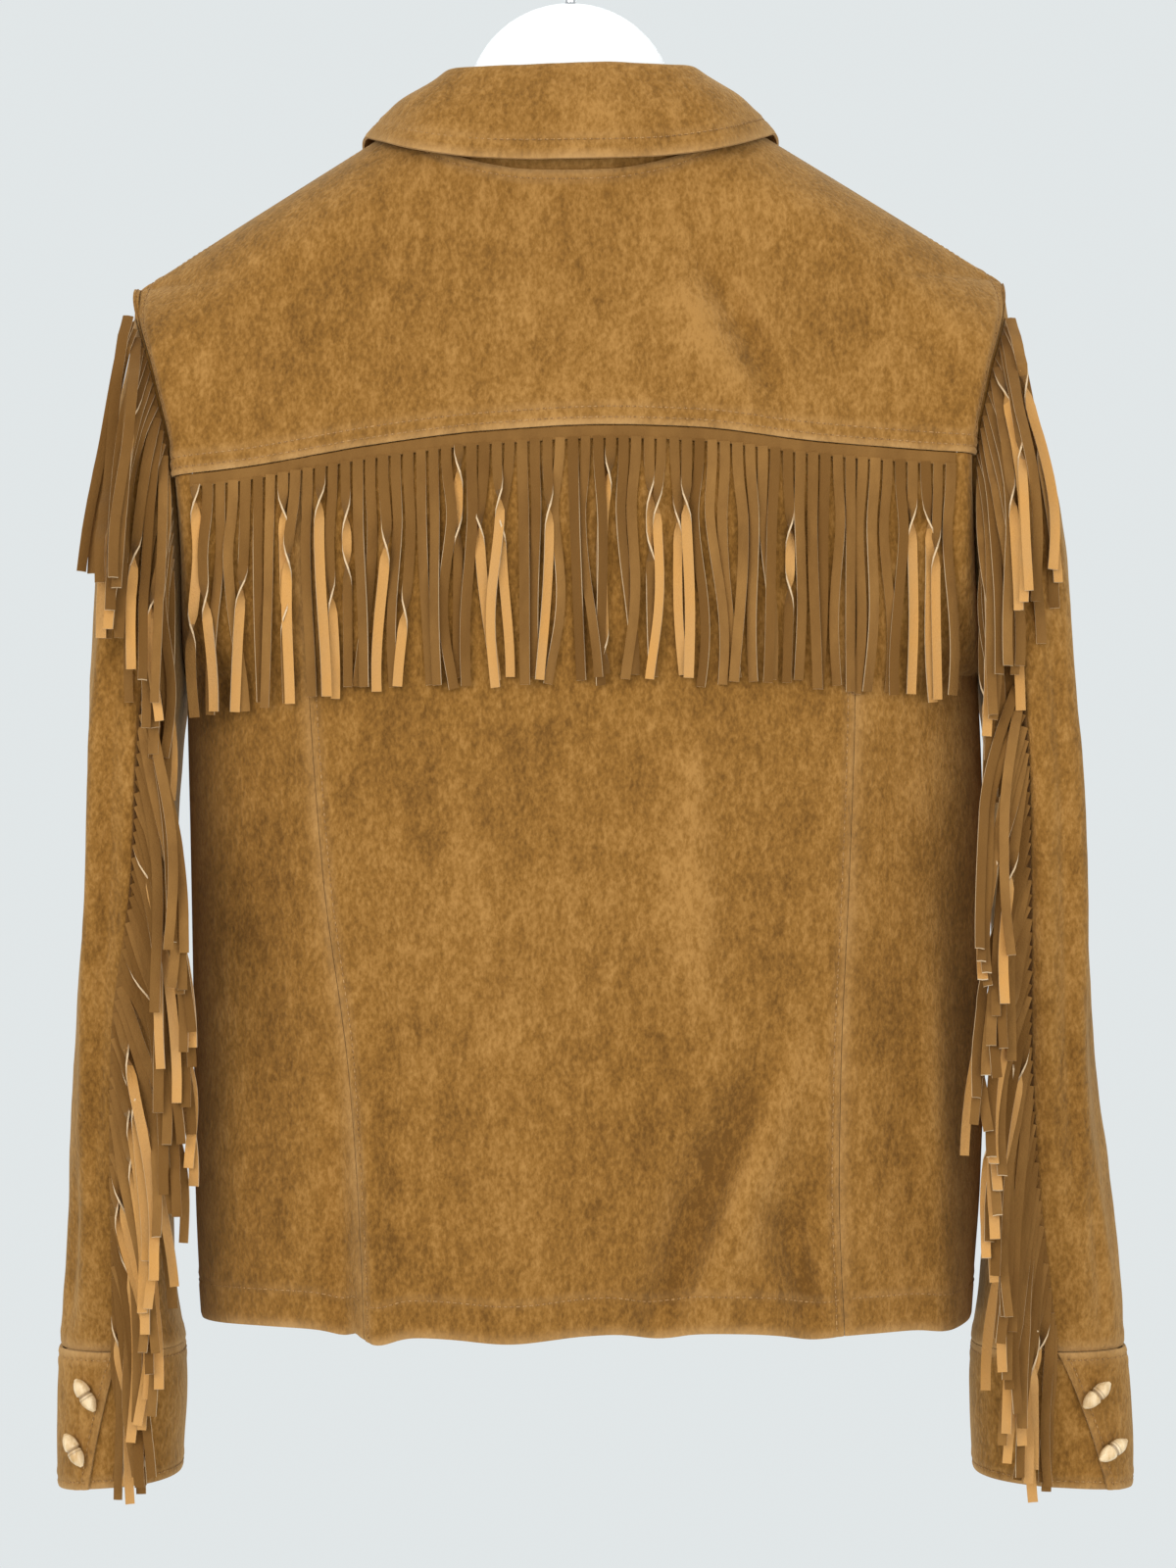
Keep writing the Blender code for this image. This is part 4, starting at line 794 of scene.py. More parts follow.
def suede():
    """Brushed nap: broad soft blotches, finger marks across them, a fine grain and rubbed edges. Raised
    creases and lumps are lighter as rubbed nap, and their hollows are painted darker as shade.
    """
    n = Nodes("suede_nap")
    broad = n.spread(n.noise(8, 3.0, 0.60), 0.34, 0.66)
    marks = n.spread(n.noise(34, 4.0, 0.62, (1, 1, 0.65), 0.5), 0.34, 0.68)
    brushed = n.spread(n.noise(170, 3.0, 0.65, (1, 1, 0.40), -0.5), 0.32, 0.68)
    grain = n.spread(n.noise(560, 2.0, 0.65, (1, 1, 0.60), -0.5), 0.32, 0.68)
    # Lighter where the cloth is raised, as rubbed nap, and darker in creases and hollows, as painted
    # shade.
    rub_and_hollow_shade = n.attribute("rub_and_hollow_shade")
    tone = n.total((0.22, broad), (0.17, marks), (0.27, brushed), (0.34, grain), (0.18, rub_and_hollow_shade))
    colour = n.mix(n.spread(tone, 0.18, 0.50), NAP_DARK, NAP)
    colour = n.mix(n.spread(tone, 0.50, 0.84), colour, NAP_LIGHT)
    worn = n.math("MULTIPLY", n.attribute("worn"), n.spread(marks, 0.0, 1.0, 0.35, 1.0))
    colour = n.mix(n.math("MULTIPLY", worn, 0.90), colour, NAP_WORN)
    rough = n.spread(marks, 0.0, 1.0, 0.86, 0.98)
    normal = n.bump(brushed, 0.35, 0.0006)
    normal = n.bump(grain, 0.55, 0.0005, normal)
    sheen = {"Sheen_Weight": 0.28, "Sheen_Roughness": 0.55, "Sheen_Tint": SHEEN}
    return n.finish(colour, rough, normal, Specular_IOR_Level=0.10, **sheen)


def strand_suede():
    """Strands: nap on one face, smooth skin on the other and a pale cut edge between them."""
    n = Nodes("suede_strands")
    marks = n.spread(n.noise(60, 4.0, 0.60, (1, 1, 0.4)), 0.32, 0.68)
    grain = n.spread(n.noise(800, 2.0, 0.60), 0.25, 0.75)
    tone = n.attribute("tone")
    nap = n.mix(n.math("MULTIPLY", marks, 0.55), STRAND_NAP, NAP_LIGHT)
    nap = n.mix(n.spread(tone, 0.0, 1.0, 0.0, 0.90), nap, NAP_DARK)
    skin = n.mix(n.math("MULTIPLY", marks, 0.5), STRAND_SKIN, NAP_WORN)
    skin = n.mix(n.spread(tone, 0.0, 1.0, 0.0, 0.22), skin, NAP)
    kind = n.attribute("kind")
    colour = n.mix(n.spread(kind, 0.2, 0.8), nap, skin)
    colour = n.mix(n.spread(kind, 1.2, 1.8), colour, STRAND_CUT)
    rough = n.spread(kind, 0.0, 1.0, 0.93, 0.72)
    normal = n.bump(marks, 0.25, 0.0006)
    normal = n.bump(grain, 0.5, 0.0004, normal)
    sheen = {"Sheen_Weight": 0.15, "Sheen_Roughness": 0.55, "Sheen_Tint": STRAND_SHEEN}
    return n.finish(colour, rough, normal, Specular_IOR_Level=0.2, **sheen)


def thread_stuff():
    n = Nodes("thread")
    twist = n.noise(1800, 1.0, 0.5, (1, 1, 0.3))
    colour = n.mix(n.spread(twist, 0.3, 0.7), THREAD, NAP_DARK)
    rough = n.spread(twist, 0.3, 0.7, 0.6, 0.8)
    return n.finish(colour, rough, n.bump(twist, 0.4, 0.0002), Specular_IOR_Level=0.3)


def toggle_wood():
    n = Nodes("toggle_grain")
    grain = n.spread(n.noise(260, 3.0, 0.6, (1, 1, 0.25), 0.9), 0.30, 0.70)
    fine = n.noise(1500, 2.0, 0.6, (1, 1, 0.3), 0.9)
    colour = n.mix(grain, TOGGLE_LIGHT, TOGGLE_DARK)
    colour = n.mix(n.attribute("groove"), colour, GROOVE)
    rough = n.spread(fine, 0.3, 0.7, 0.38, 0.55)
    return n.finish(colour, rough, n.bump(fine, 0.15, 0.0002), Coat_Weight=0.15, Coat_Roughness=0.3)


def white_plastic():
    n = Nodes("hanger_plastic")
    cloud = n.noise(40, 3.0, 0.6)
    scuff = n.noise(900, 2.0, 0.6, (1, 1, 0.2), 0.6)
    colour = n.mix(n.spread(cloud, 0.3, 0.7, 0.0, 0.35), PLATE, PLATE_CLOUD)
    rough = n.spread(scuff, 0.3, 0.7, 0.28, 0.42)
    return n.finish(colour, rough, n.bump(scuff, 0.06, 0.0001), Specular_IOR_Level=0.5)


def steel_wire():
    n = Nodes("hook_steel")
    drawn = n.noise(1200, 2.0, 0.6, (1, 1, 0.1))
    colour = n.mix(n.spread(drawn, 0.3, 0.7), WIRE, WIRE_DARK)
    rough = n.spread(drawn, 0.3, 0.7, 0.18, 0.34)
    return n.finish(colour, rough, n.bump(drawn, 0.08, 0.0001), Metallic=1.0)


# Pieces

SEAM_ROW = (0, 0.0010, 0.0022, 0.0034, 0.0045, 0.0056, 0.0070, 0.0084, 0.0095, 0.0108, 0.0125, 0.0150)
SEAM_RISE = 0.0004
SEAM_GROOVE = 0.0005
SEAM_ROLL = 0.0005
ALLOWANCE_PAST = 0.003  # how far a seam's allowance goes on past its last row of stitches
ALLOWANCE_FADE = 0.004
ROLL_REACH = 0.0011
GROOVE_REACH = 0.0012
RIDGE_REACH = 0.002  # over which the allowance's edge is rubbed
stitches = []


def add_piece(name, points, faces, material, slot, nodes=(), marks=None, domain="POINT", smooth=55):
    mesh = bpy.data.meshes.new(name)
    mesh.from_pydata([tuple(point) for point in points], [], faces)
    work = bmesh.new()
    work.from_mesh(mesh)
    bmesh.ops.recalc_face_normals(work, faces=work.faces)
    if work.calc_volume(signed=True) < 0:
        bmesh.ops.reverse_faces(work, faces=work.faces)
    work.to_mesh(mesh)
    work.free()
    mesh.shade_smooth()
    mesh.set_sharp_from_angle(angle=math.radians(smooth))
    for key, values in (marks or {}).items():
        attribute = mesh.attributes.new(key, "FLOAT", domain)
        attribute.data.foreach_set("value", np.asarray(values, np.float32).ravel())
    mesh.materials.append(material)
    piece = put_in_scene(name, mesh)
    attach(piece, "root")
    if nodes:
        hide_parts(*nodes)
    return piece


def wall_faces(rows, columns, loop):
    """Faces of a shell whose outer grid of points is followed by its inner one."""
    count = rows * columns
    faces = grid_faces(rows, columns, 0, loop)
    faces += [face[::-1] for face in grid_faces(rows, columns, count, loop)]
    grid = np.arange(count).reshape(rows, columns)
    rim = [grid[0], grid[-1]]
    if loop:
        rim = [np.append(edge, edge[0]) for edge in rim]
    else:
        rim += [grid[:, 0], grid[:, -1]]
    for edge in rim:
        edge = edge.tolist()
        faces += [(a, b, b + count, a + count) for a, b in zip(edge, edge[1:])]
    return faces


def rod_faces(rows, columns, start=0):
    """Faces of a solid rod whose rings of points follow one another."""
    faces = grid_faces(rows, columns, start, True)
    faces.append(tuple(range(start, start + columns)))
    faces.append(tuple(start + (rows - 1) * columns + i for i in reversed(range(columns))))
    return faces


def add_shell(name, outer, inner, worn, rub_and_hollow_shade, loop=False):
    """A piece of cloth between two grids of points."""
    both = np.concatenate([outer.reshape(-1, 3), inner.reshape(-1, 3)])
    # The second mark is rubbed nap on raised places and painted shade in hollows.
    marks = {"worn": np.tile(worn.ravel(), 2), "rub_and_hollow_shade": np.tile(rub_and_hollow_shade.ravel(), 2)}
    return add_piece(name, both, wall_faces(*outer.shape[:2], loop), cloth, "suede", [name], marks)


def runs(points, border):
    """Distance of each point of a grid from one of its borders, along the grid."""
    grid = points if border in ("top", "bottom") else points.swapaxes(0, 1)
    if border in ("bottom", "right"):
        grid = grid[::-1]
    steps = np.linalg.norm(np.diff(grid, axis=0), axis=-1)
    run = np.concatenate([np.zeros((1, grid.shape[1])), np.cumsum(steps, axis=0)])
    if border in ("bottom", "right"):
        run = run[::-1]
    return run if border in ("top", "bottom") else run.swapaxes(0, 1)


def finish_grid(points, normals, seams, rub_reach=0.0035):
    """Raises each seam's allowance, sinks its rows of stitches and notes them.

    seams maps a border to the distances of its rows of stitches. Returns the points and how
    rubbed each is.
    """
    lift = np.zeros(points.shape[:2])
    worn = np.zeros(points.shape[:2])
    for border, lines in seams.items():
        run = runs(points, border)
        rubbed = 0.4 if border in ("left", "right") else 0.8
        reach = (max(lines) if lines else ALLOWANCE_PAST) + ALLOWANCE_PAST
        lift += SEAM_RISE * (1 - ease((run - reach) / ALLOWANCE_FADE))
        lift -= SEAM_ROLL * np.exp(-((run / ROLL_REACH) ** 2))
        for line in lines:
            lift -= SEAM_GROOVE * np.exp(-(((run - line) / GROOVE_REACH) ** 2))
        worn = np.maximum(worn, rubbed * np.exp(-((run / rub_reach) ** 2)))
        ridge_worn = np.exp(-(((run - reach + RIDGE_REACH) / RIDGE_REACH) ** 2))
        worn = np.maximum(worn, 0.3 * rubbed * ridge_worn)
    moved = points + normals * lift[..., None]
    for border, lines in seams.items():
        run = runs(points, border)
        for line in lines:
            stitches.append(line_at(moved, normals, run, line, border))
    return moved, worn


def line_at(points, normals, run, distance, border):
    """The points and normals of a grid at a distance from a border."""
    axis = 0 if border in ("top", "bottom") else 1
    run, grid, out = (np.moveaxis(values, axis, 0) for values in (run, points, normals))
    line = []
    for c in range(run.shape[1]):
        order = np.argsort(run[:, c])
        along = run[order, c]
        place = [np.interp(distance, along, grid[order, c, k]) for k in range(3)]
        way = [np.interp(distance, along, out[order, c, k]) for k in range(3)]
        line.append(place + way)
    line = np.array(line)
    return line[:, :3], unit(line[:, 3:])


def steps_of(length, pitch, dense):
    """Shares of a length, evenly spaced, with a seam's own rows at the ends that ask for them."""
    places = list(np.linspace(0, length, int(length / pitch) + 2))
    if dense[0]:
        places += list(SEAM_ROW)
    if dense[1]:
        places += [length - step for step in SEAM_ROW]
    places = np.unique(np.round(places, 5))
    keep = np.concatenate([[True], np.diff(places) > 0.0004])
    return places[keep] / places[keep][-1]


def panel(name, face, top, bottom, edges, size, dense, seams, lift=None, curl=1.0):
    """A piece of the body between two edges and two heights, as a thin shell."""
    inside = steps_of(size[0], PITCH, dense[:2])
    shares = steps_of(size[1], PITCH, dense[2:])[:, None] ** curl
    ends = [end_of_columns(line, edges, inside) for line in (top, bottom)]
    z = blend(ends[0], ends[1], shares)
    low, high = edges(z)
    f = blend(low, high, inside[None, :])
    points = body_point(face, f, z)
    normals = body_normal(face, f, z)
    at_armhole = (np.abs(f) > 0.9999) & (z > SHARED_WALL_END)
    normals = np.where(at_armhole[..., None], armhole_normal(face, f, z), normals)
    if lift is not None:
        points = points + normals * lift(f, z, shares)[..., None]
    points, worn = finish_grid(points, normals, seams)
    # Raised creases lighten the nap as rubbing; troughs darken it as painted shade.
    rub_and_hollow_shade = np.clip(creases(face, points[..., 0], z) / RUB_AND_SHADE_LIFT, -1, 1)
    return add_shell(name, points, points - WALL * normals, worn, rub_and_hollow_shade)


def tube(name, outer, normals, seams, loop, fade):
    """A sleeve or a cuff as a thin shell with soft unevenness that fades at its ends."""
    outer, worn = finish_grid(outer, normals, seams)
    lift = unevenness(SLEEVE_UNEVEN, *np.moveaxis(outer, -1, 0)) * fade
    outer = outer + normals * lift[..., None]
    # Lumps lighten the nap as rubbing; hollows darken it as painted shade.
    rub_and_hollow_shade = np.clip(lift / SLEEVE_UNEVEN[0][0], -1, 1) * 0.5
    return add_shell(name, outer, outer - WALL * normals, worn, rub_and_hollow_shade, loop)


# Distances of rows of stitches from a panel's border
DOUBLE = (0.0035, 0.0088)
SINGLE = (0.0045,)
BAND = (0.0085,)
PRINCESS_ROW = (0.0035,)
HEM_ROW = {"bottom": (0.018,)}
PLACKET = (0.0040, 0.0300)

PITCH = 0.0032
RUB_AND_SHADE_LIFT = 0.0025  # lift of a crease that is rubbed lightest; a trough as deep is painted darkest as shade


def add_body():
    def whole(z):
        return -1.0, 1.0

    def over_strip(f, z, shares):
        return (STRIP_THICK + GAP) * ease((shares - 0.80) / 0.20) * (np.abs(f) < 0.99)

    def middle(z):
        return seam_share(z, -1, GAP / 2), seam_share(z, 1, -GAP / 2)

    def left_side(z):
        return seam_share(z, 1, GAP / 2), 1.0

    def right_side(z):
        return -1.0, seam_share(z, -1, -GAP / 2)

    yoke_seams = {"bottom": DOUBLE, "left": BAND, "right": BAND, "top": SINGLE}
    centre_seams = {**HEM_ROW, "left": PRINCESS_ROW, "right": PRINCESS_ROW}
    left_seams = {**HEM_ROW, "left": PLACKET, "top": SINGLE}
    right_seams = {**HEM_ROW, "right": PLACKET, "top": SINGLE}
    back = (1, lower_top, hem)
    front = (-1, front_top, hem)
    open_top, closed = (1, 1, 0, 1), (1, 1, 1, 1)
    panels = (
        ("back_yoke", 1, back_top, yoke_bottom, whole, (0.50, 0.17), closed, yoke_seams, over_strip, 1.15),
        ("back_centre", *back, middle, (0.26, 0.43), open_top, centre_seams),
        ("back_side_left", *back, left_side, (0.105, 0.43), open_top, {**HEM_ROW, "left": ()}),
        ("back_side_right", *back, right_side, (0.105, 0.43), open_top, {**HEM_ROW, "right": ()}),
        ("front_left", *front, lambda z: (-CLOSURE, 1.0), (0.24, 0.55), closed, left_seams),
        (
            "front_right", *front, lambda z: (-1.0, CLOSURE), (0.24, 0.55), closed, right_seams,
            lambda f, z, shares: front_overlap(f),
        ),
    )
    return {row[0]: panel(*row) for row in panels}


# Folds of the sleeves between two places, given by the angle round the sleeve and the height
SLEEVE_FOLDS = records(
    "side x_a z_a x_b z_b half_width height",
    (1, 1.42, -0.300, 1.30, -0.700, 0.14, -0.0042),
    (1, 1.10, -0.330, 1.02, -0.620, 0.16, 0.0022),
    (1, 1.85, -0.420, 1.75, -0.640, 0.14, 0.0018),
    (1, 0.55, -0.400, 0.40, -0.600, 0.20, -0.0020),
    (1, 0.90, -0.640, 0.70, -0.730, 0.12, -0.0026),
    (1, 2.40, -0.470, 2.20, -0.700, 0.22, -0.0022),
    (1, -1.30, -0.330, -1.10, -0.600, 0.20, -0.0034),
    (1, -1.80, -0.480, -1.60, -0.700, 0.20, 0.0028),
    (1, -0.60, -0.420, -0.80, -0.660, 0.18, -0.0022),
    (-1, 1.25, -0.320, 1.38, -0.690, 0.16, -0.0036),
    (-1, 0.90, -0.300, 0.96, -0.560, 0.18, 0.0020),
    (-1, 1.70, -0.460, 1.62, -0.700, 0.15, 0.0020),
    (-1, 0.45, -0.470, 0.60, -0.700, 0.18, -0.0022),
    (-1, 1.05, -0.640, 0.95, -0.732, 0.10, -0.0026),
    (-1, 2.30, -0.440, 2.40, -0.680, 0.22, -0.0022),
    (-1, -1.20, -0.350, -1.35, -0.620, 0.20, -0.0032),
    (-1, -1.75, -0.460, -1.85, -0.690, 0.20, 0.0026),
    (-1, -0.50, -0.440, -0.70, -0.640, 0.18, 0.0022),
)


SLEEVE_RADIUS = 0.0455  # turns an angle round a sleeve into a distance


def sleeve_fold(sign, turns, z):
    """How far the sleeve's folds lift its cloth; turns run on from behind to the front."""
    around = np.where(turns > math.pi, turns - 2 * math.pi, turns) * SLEEVE_RADIUS
    lift = 0 * z
    for row in SLEEVE_FOLDS:
        if row["side"] == sign:
            flat = {name: row[name] * SLEEVE_RADIUS for name in ("x_a", "x_b", "half_width")}
            lift = lift + crease_lift({**row, **flat}, around, z)
    return lift


LAST_RINGS = (9.86, 9.92, 9.97)  # more rings where the sleeve meets the cuff's seam
CUFF_PITCH = (0.0030, 0.0022)  # between points down a cuff and round it
CUFF_AROUND = 0.25  # rough length round a cuff
CUFF_MIDDLE = (0.226, -0.006, -0.770)
CUFF_ROW = (0.004,)
COLLAR_ROW = (0.0092,)


def add_sleeve(name, sign):
    turns = np.linspace(0, 2 * math.pi, 110, endpoint=False)
    last = SLEEVE_RINGS["key"][-1]
    evenly = np.linspace(0, last, 150)
    rings = np.unique(np.concatenate([evenly, LAST_RINGS]))
    outer = sleeve_grid(sign, rings, turns)
    normals = loop_normals(outer, sign)
    seam = outer[0, :, 2]
    behind = np.where(np.sin(turns) >= 0, 1, -1)
    first = np.stack([armhole_normal(f, np.array(sign * 1.0), z) for f, z in zip(behind, seam)])
    normals[0] = np.where((seam > SHARED_WALL_END)[:, None], first, normals[0])
    fade = (ease(rings / 1.6) * ease((last - rings) / 0.5))[:, None]
    lift = sleeve_fold(sign, turns[None, :], outer[..., 2]) * fade
    return tube(name, outer + normals * lift[..., None], normals, {"bottom": ()}, True, fade)


def add_cuff(name, sign):
    fall = steps_of(CUFF_HEIGHT, CUFF_PITCH[0], (1, 1))[:, None]
    edge = blend(CUFF_EDGE[sign][0], CUFF_EDGE[sign][1], fall)
    around = steps_of(CUFF_AROUND, CUFF_PITCH[1], (1, 1))[None, :]
    turn = edge - around * (2 * math.pi + CUFF_OVERLAP)
    outer = cuff_point(sign, turn, fall, cuff_lift(edge, turn))
    normals = sheet_normals(outer, np.array(CUFF_MIDDLE) * (sign, 1, 1))
    seams = {border: CUFF_ROW for border in ("top", "bottom", "left")}
    return tube(name, outer, normals, seams, False, 0.5 * np.ones(outer.shape[:2]))


# The collar's two pieces

def spline(values, count):
    """Catmull-Rom through the rows of an array, with count rows to each span."""
    padded = np.concatenate([2 * values[:1] - values[1:2], values, 2 * values[-1:] - values[-2:-1]])
    found = []
    for i in range(len(values) - 1):
        a, b, c, d = padded[i : i + 4]
        square = 2 * a - 5 * b + 4 * c - d
        cube = 3 * b - a - 3 * c + d
        for t in np.linspace(0, 1, count, endpoint=False):
            found.append((2 * b + (c - a) * t + square * t**2 + cube * t**3) / 2)
    return np.array(found + [values[-1]])


STAND_ROWS = (-0.28, -0.12, 0.0, 0.12, 0.3, 0.5, 0.75, 1.0)  # the first are behind the neckline
TUCK_CLEAR = 0.0006
COLLAR_INSIDE = (0.0050, -0.0010)  # down and outwards from the fold, on its side next to the neck
COLLAR_TURN = (0.0022, 0.0045)  # the same, on its outer side
COLLAR_HANG = (-0.0040, 0.0010)  # from halfway between the outer side and the edge


def add_collar():
    """The stand and the turned-down fall, each from a few lines that run round the neck."""
    stand, collar = [], []
    down = np.array([0, 0, -1.0])
    for station, sign in collar_columns():
        fold, edge = collar_place("fold", station, sign), collar_place("edge", station, sign)
        seam = neck_edge(station, sign)
        up = unit(fold - seam)
        outward = unit((edge - fold) * (1, 1, 0))
        stand.append([seam + up * NECK_SEAM, seam + up * STAND_UP])
        crease = fold + down * WALL
        inside = crease + down * COLLAR_INSIDE[0] + outward * COLLAR_INSIDE[1]
        turn = crease + down * COLLAR_TURN[0] + outward * COLLAR_TURN[1]
        hang = (turn + edge) / 2 + down * COLLAR_HANG[0] + outward * COLLAR_HANG[1]
        collar.append([seam + up * (STAND_UP + 2 * GAP), inside, crease, turn, hang, edge])
    count = 10
    stand = spline(np.array(stand), count).swapaxes(0, 1)
    normals = unit(np.cross(stand[1] - stand[0], np.gradient(stand[0], axis=0)))
    normals = normals * np.sign((normals * (stand[0] - (0, 0, -0.15)) * (1, 1, 0)).sum())
    shares = np.array(STAND_ROWS)[:, None, None]
    tuck = (WALL + TUCK_CLEAR) * (1 - ease(shares / 0.35))
    stand = blend(stand[:1], stand[1:], shares) - normals[None] * tuck
    blank = np.zeros(stand.shape[:2])
    pieces = {}
    name = "collar_stand"
    pieces[name] = add_shell(name, stand, stand - WALL * normals[None], blank + 0.15, blank)
    collar = spline(np.array(collar).swapaxes(0, 1), count)
    collar = spline(collar.swapaxes(0, 1), count).swapaxes(0, 1)
    under = sheet_normals(collar, np.zeros(3))
    under = under * np.sign((under[0] * normals).sum())
    seams = {border: COLLAR_ROW for border in ("bottom", "left", "right")}
    over, worn = finish_grid(collar - WALL * under, -under, seams, 0.003)
    fade = ease(np.linspace(0, 1, len(over)) * 3)[:, None]
    lift = unevenness(COLLAR_UNEVEN, *np.moveaxis(over, -1, 0)) * fade
    raised = under * lift[..., None]
    # Lumps lighten the nap as rubbing; hollows darken it as painted shade.
    rub_and_hollow_shade = np.clip(lift / 0.001, -1, 1) * 0.4
    pieces["collar"] = add_shell("collar", collar - raised, over - raised, worn, rub_and_hollow_shade)
    return pieces


# The combs of fringe

# Strands of the yoke that turn their smooth face out: where they hang, and where the turn
# starts and ends
LIGHT_STRANDS = records(
    "x top bottom",
    (-0.1784, -0.3413, -0.4400),
    (-0.1713, -0.3305, -0.4400),
    (-0.1652, -0.3262, -0.4400),
    (-0.1048, -0.3324, -0.3607),
    (-0.0566, -0.3201, -0.4400),
    (-0.0524, -0.3276, -0.4400),
    (-0.0462, -0.3224, -0.4400),
    (-0.0411, -0.3135, -0.3451),
    (-0.0208, -0.3059, -0.3894),
    (0.0104, -0.3215, -0.4400),
    (0.0269, -0.3314, -0.4400),
    (0.0344, -0.3187, -0.4400),
    (0.0415, -0.3314, -0.4400),
    (0.0519, -0.3031, -0.3338),
    (0.0793, -0.3720, -0.4400),
    (0.0887, -0.3413, -0.4400),
    (0.1062, -0.3257, -0.3503),
    (0.1142, -0.3644, -0.4163),
    (0.1232, -0.3182, -0.4400),
    (0.1317, -0.3460, -0.4400),
    (0.1368, -0.3687, -0.4400),
    (0.1416, -0.3229, -0.3720),
    (0.1562, -0.3583, -0.4400),
    (0.1755, -0.3687, -0.4300),
    (0.1869, -0.3182, -0.3795),
)
SHOULDER_REACH = 0.007  # how far the armhole strands go on up the shoulder
TWIST_RUN = 0.028  # length over which a strand turns its other face out
STRAND_POINTS = 26
CAMBER = 0.0004
WIDTHS = (0.98, 1.14)  # least and greatest share of the usual width
NARROWS = 0.06  # share of its width that a strand loses down its length
STRAND_SHARP = 40  # degrees between faces that are shaded apart
YOKE_YAW = 26  # most degrees that a strand is turned at first
SEAM_YAW = 16
YOKE_SWAY = 0.0052
YOKE_BOW = 0.0032
SEAM_BOW = 0.0030
TIP_STRAY = 0.003
BED_X = 0.0008
BED_Z = 0.0022
BED_CLEAR = 0.00025


def tree_of(piece):
    points = [tuple(point.co) for point in piece.data.vertices]
    return BVHTree.FromPolygons(points, [tuple(face.vertices) for face in piece.data.polygons])


def cover(trees, x, z):
    """How far back the outermost cloth lies at a place."""
    hits = [tree.ray_cast(Vector((x, 1, z)), Vector((0, -1, 0)))[0] for tree in trees]
    return max([hit[1] for hit in hits if hit is not None], default=0.0)


class Comb:
    """Strands and their strip, gathered into one mesh."""

    def __init__(self):
        self.points, self.faces, self.kind, self.tone = [], [], [], []

    def wrap(self, lines, kinds, end_kind, tone):
        """Faces round lines of points that run side by side, and over their ends."""
        start, count, corners = len(self.points), len(lines[0]), len(lines)
        for line in lines:
            self.points += list(line)
        for c, kind in enumerate(kinds):
            a, b = start + c * count, start + (c + 1) % corners * count
            self.faces += [(a + i, b + i, b + i + 1, a + i + 1) for i in range(count - 1)]
            self.kind += [kind] * (count - 1)
        for i in (0, count - 1):
            self.faces.append(tuple(start + c * count + i for c in range(corners)))
            self.kind.append(end_kind)
        self.tone += [tone] * (corners * (count - 1) + 2)

    def ribbon(self, path, turn, width, tone):
        """A strand along a path: turn is each point's angle about the strand's own length."""
        ahead = unit(np.gradient(path, axis=0))
        level = np.stack([np.cos(turn), np.sin(turn), 0 * turn], axis=-1)
        side = unit(level - ahead * (level * ahead).sum(axis=-1, keepdims=True))
        out = np.cross(side, ahead)
        back = out[:, 1] * np.cos(turn) - out[:, 0] * np.sin(turn) < 0
        out = out * np.where(back, -1, 1)[:, None]
        half = (width / 2)[:, None] * side
        thick = out * STRAND_THICK / 2
        corners = ((-1, 0, 1), (0, CAMBER, 1), (1, 0, 1), (1, 0, -1), (0, CAMBER, -1), (-1, 0, -1))
        lines = [path + half * share + thick * face + out * lift for share, lift, face in corners]
        self.wrap(lines, (0, 0, 2, 1, 1, 2), 2, tone)

    def strip(self, upper, lower):
        """A flat backing between two lines of points, out from the cloth."""
        thick = np.array([0, STRIP_THICK, 0])
        self.wrap((upper, upper + thick, lower + thick, lower), (0, 0, 0, 0), 0, 0.5)

    def add(self, name):
        marks = {"kind": self.kind, "tone": self.tone}
        look = (strands, "fringe_suede")
        return add_piece(name, self.points, self.faces, *look, [name], marks, "FACE", STRAND_SHARP)


def strip_line(trees, x, z):
    """Points just off the cloth at places that are given from behind."""
    depth = np.array([cover(trees, *place) for place in zip(x, z)]) + STRIP_CLEAR
    return np.stack([x, depth, z], axis=-1)


def turned(s, length, flips, sense):
    """The angle along a strand that turns its other face out at the first place, and back."""
    turn = 0 * s
    for number, place in enumerate(flips):
        way = sense if number % 2 == 0 else -sense
        turn = turn + way * math.pi * ease((s * length - place) / TWIST_RUN + 0.5)
    return turn


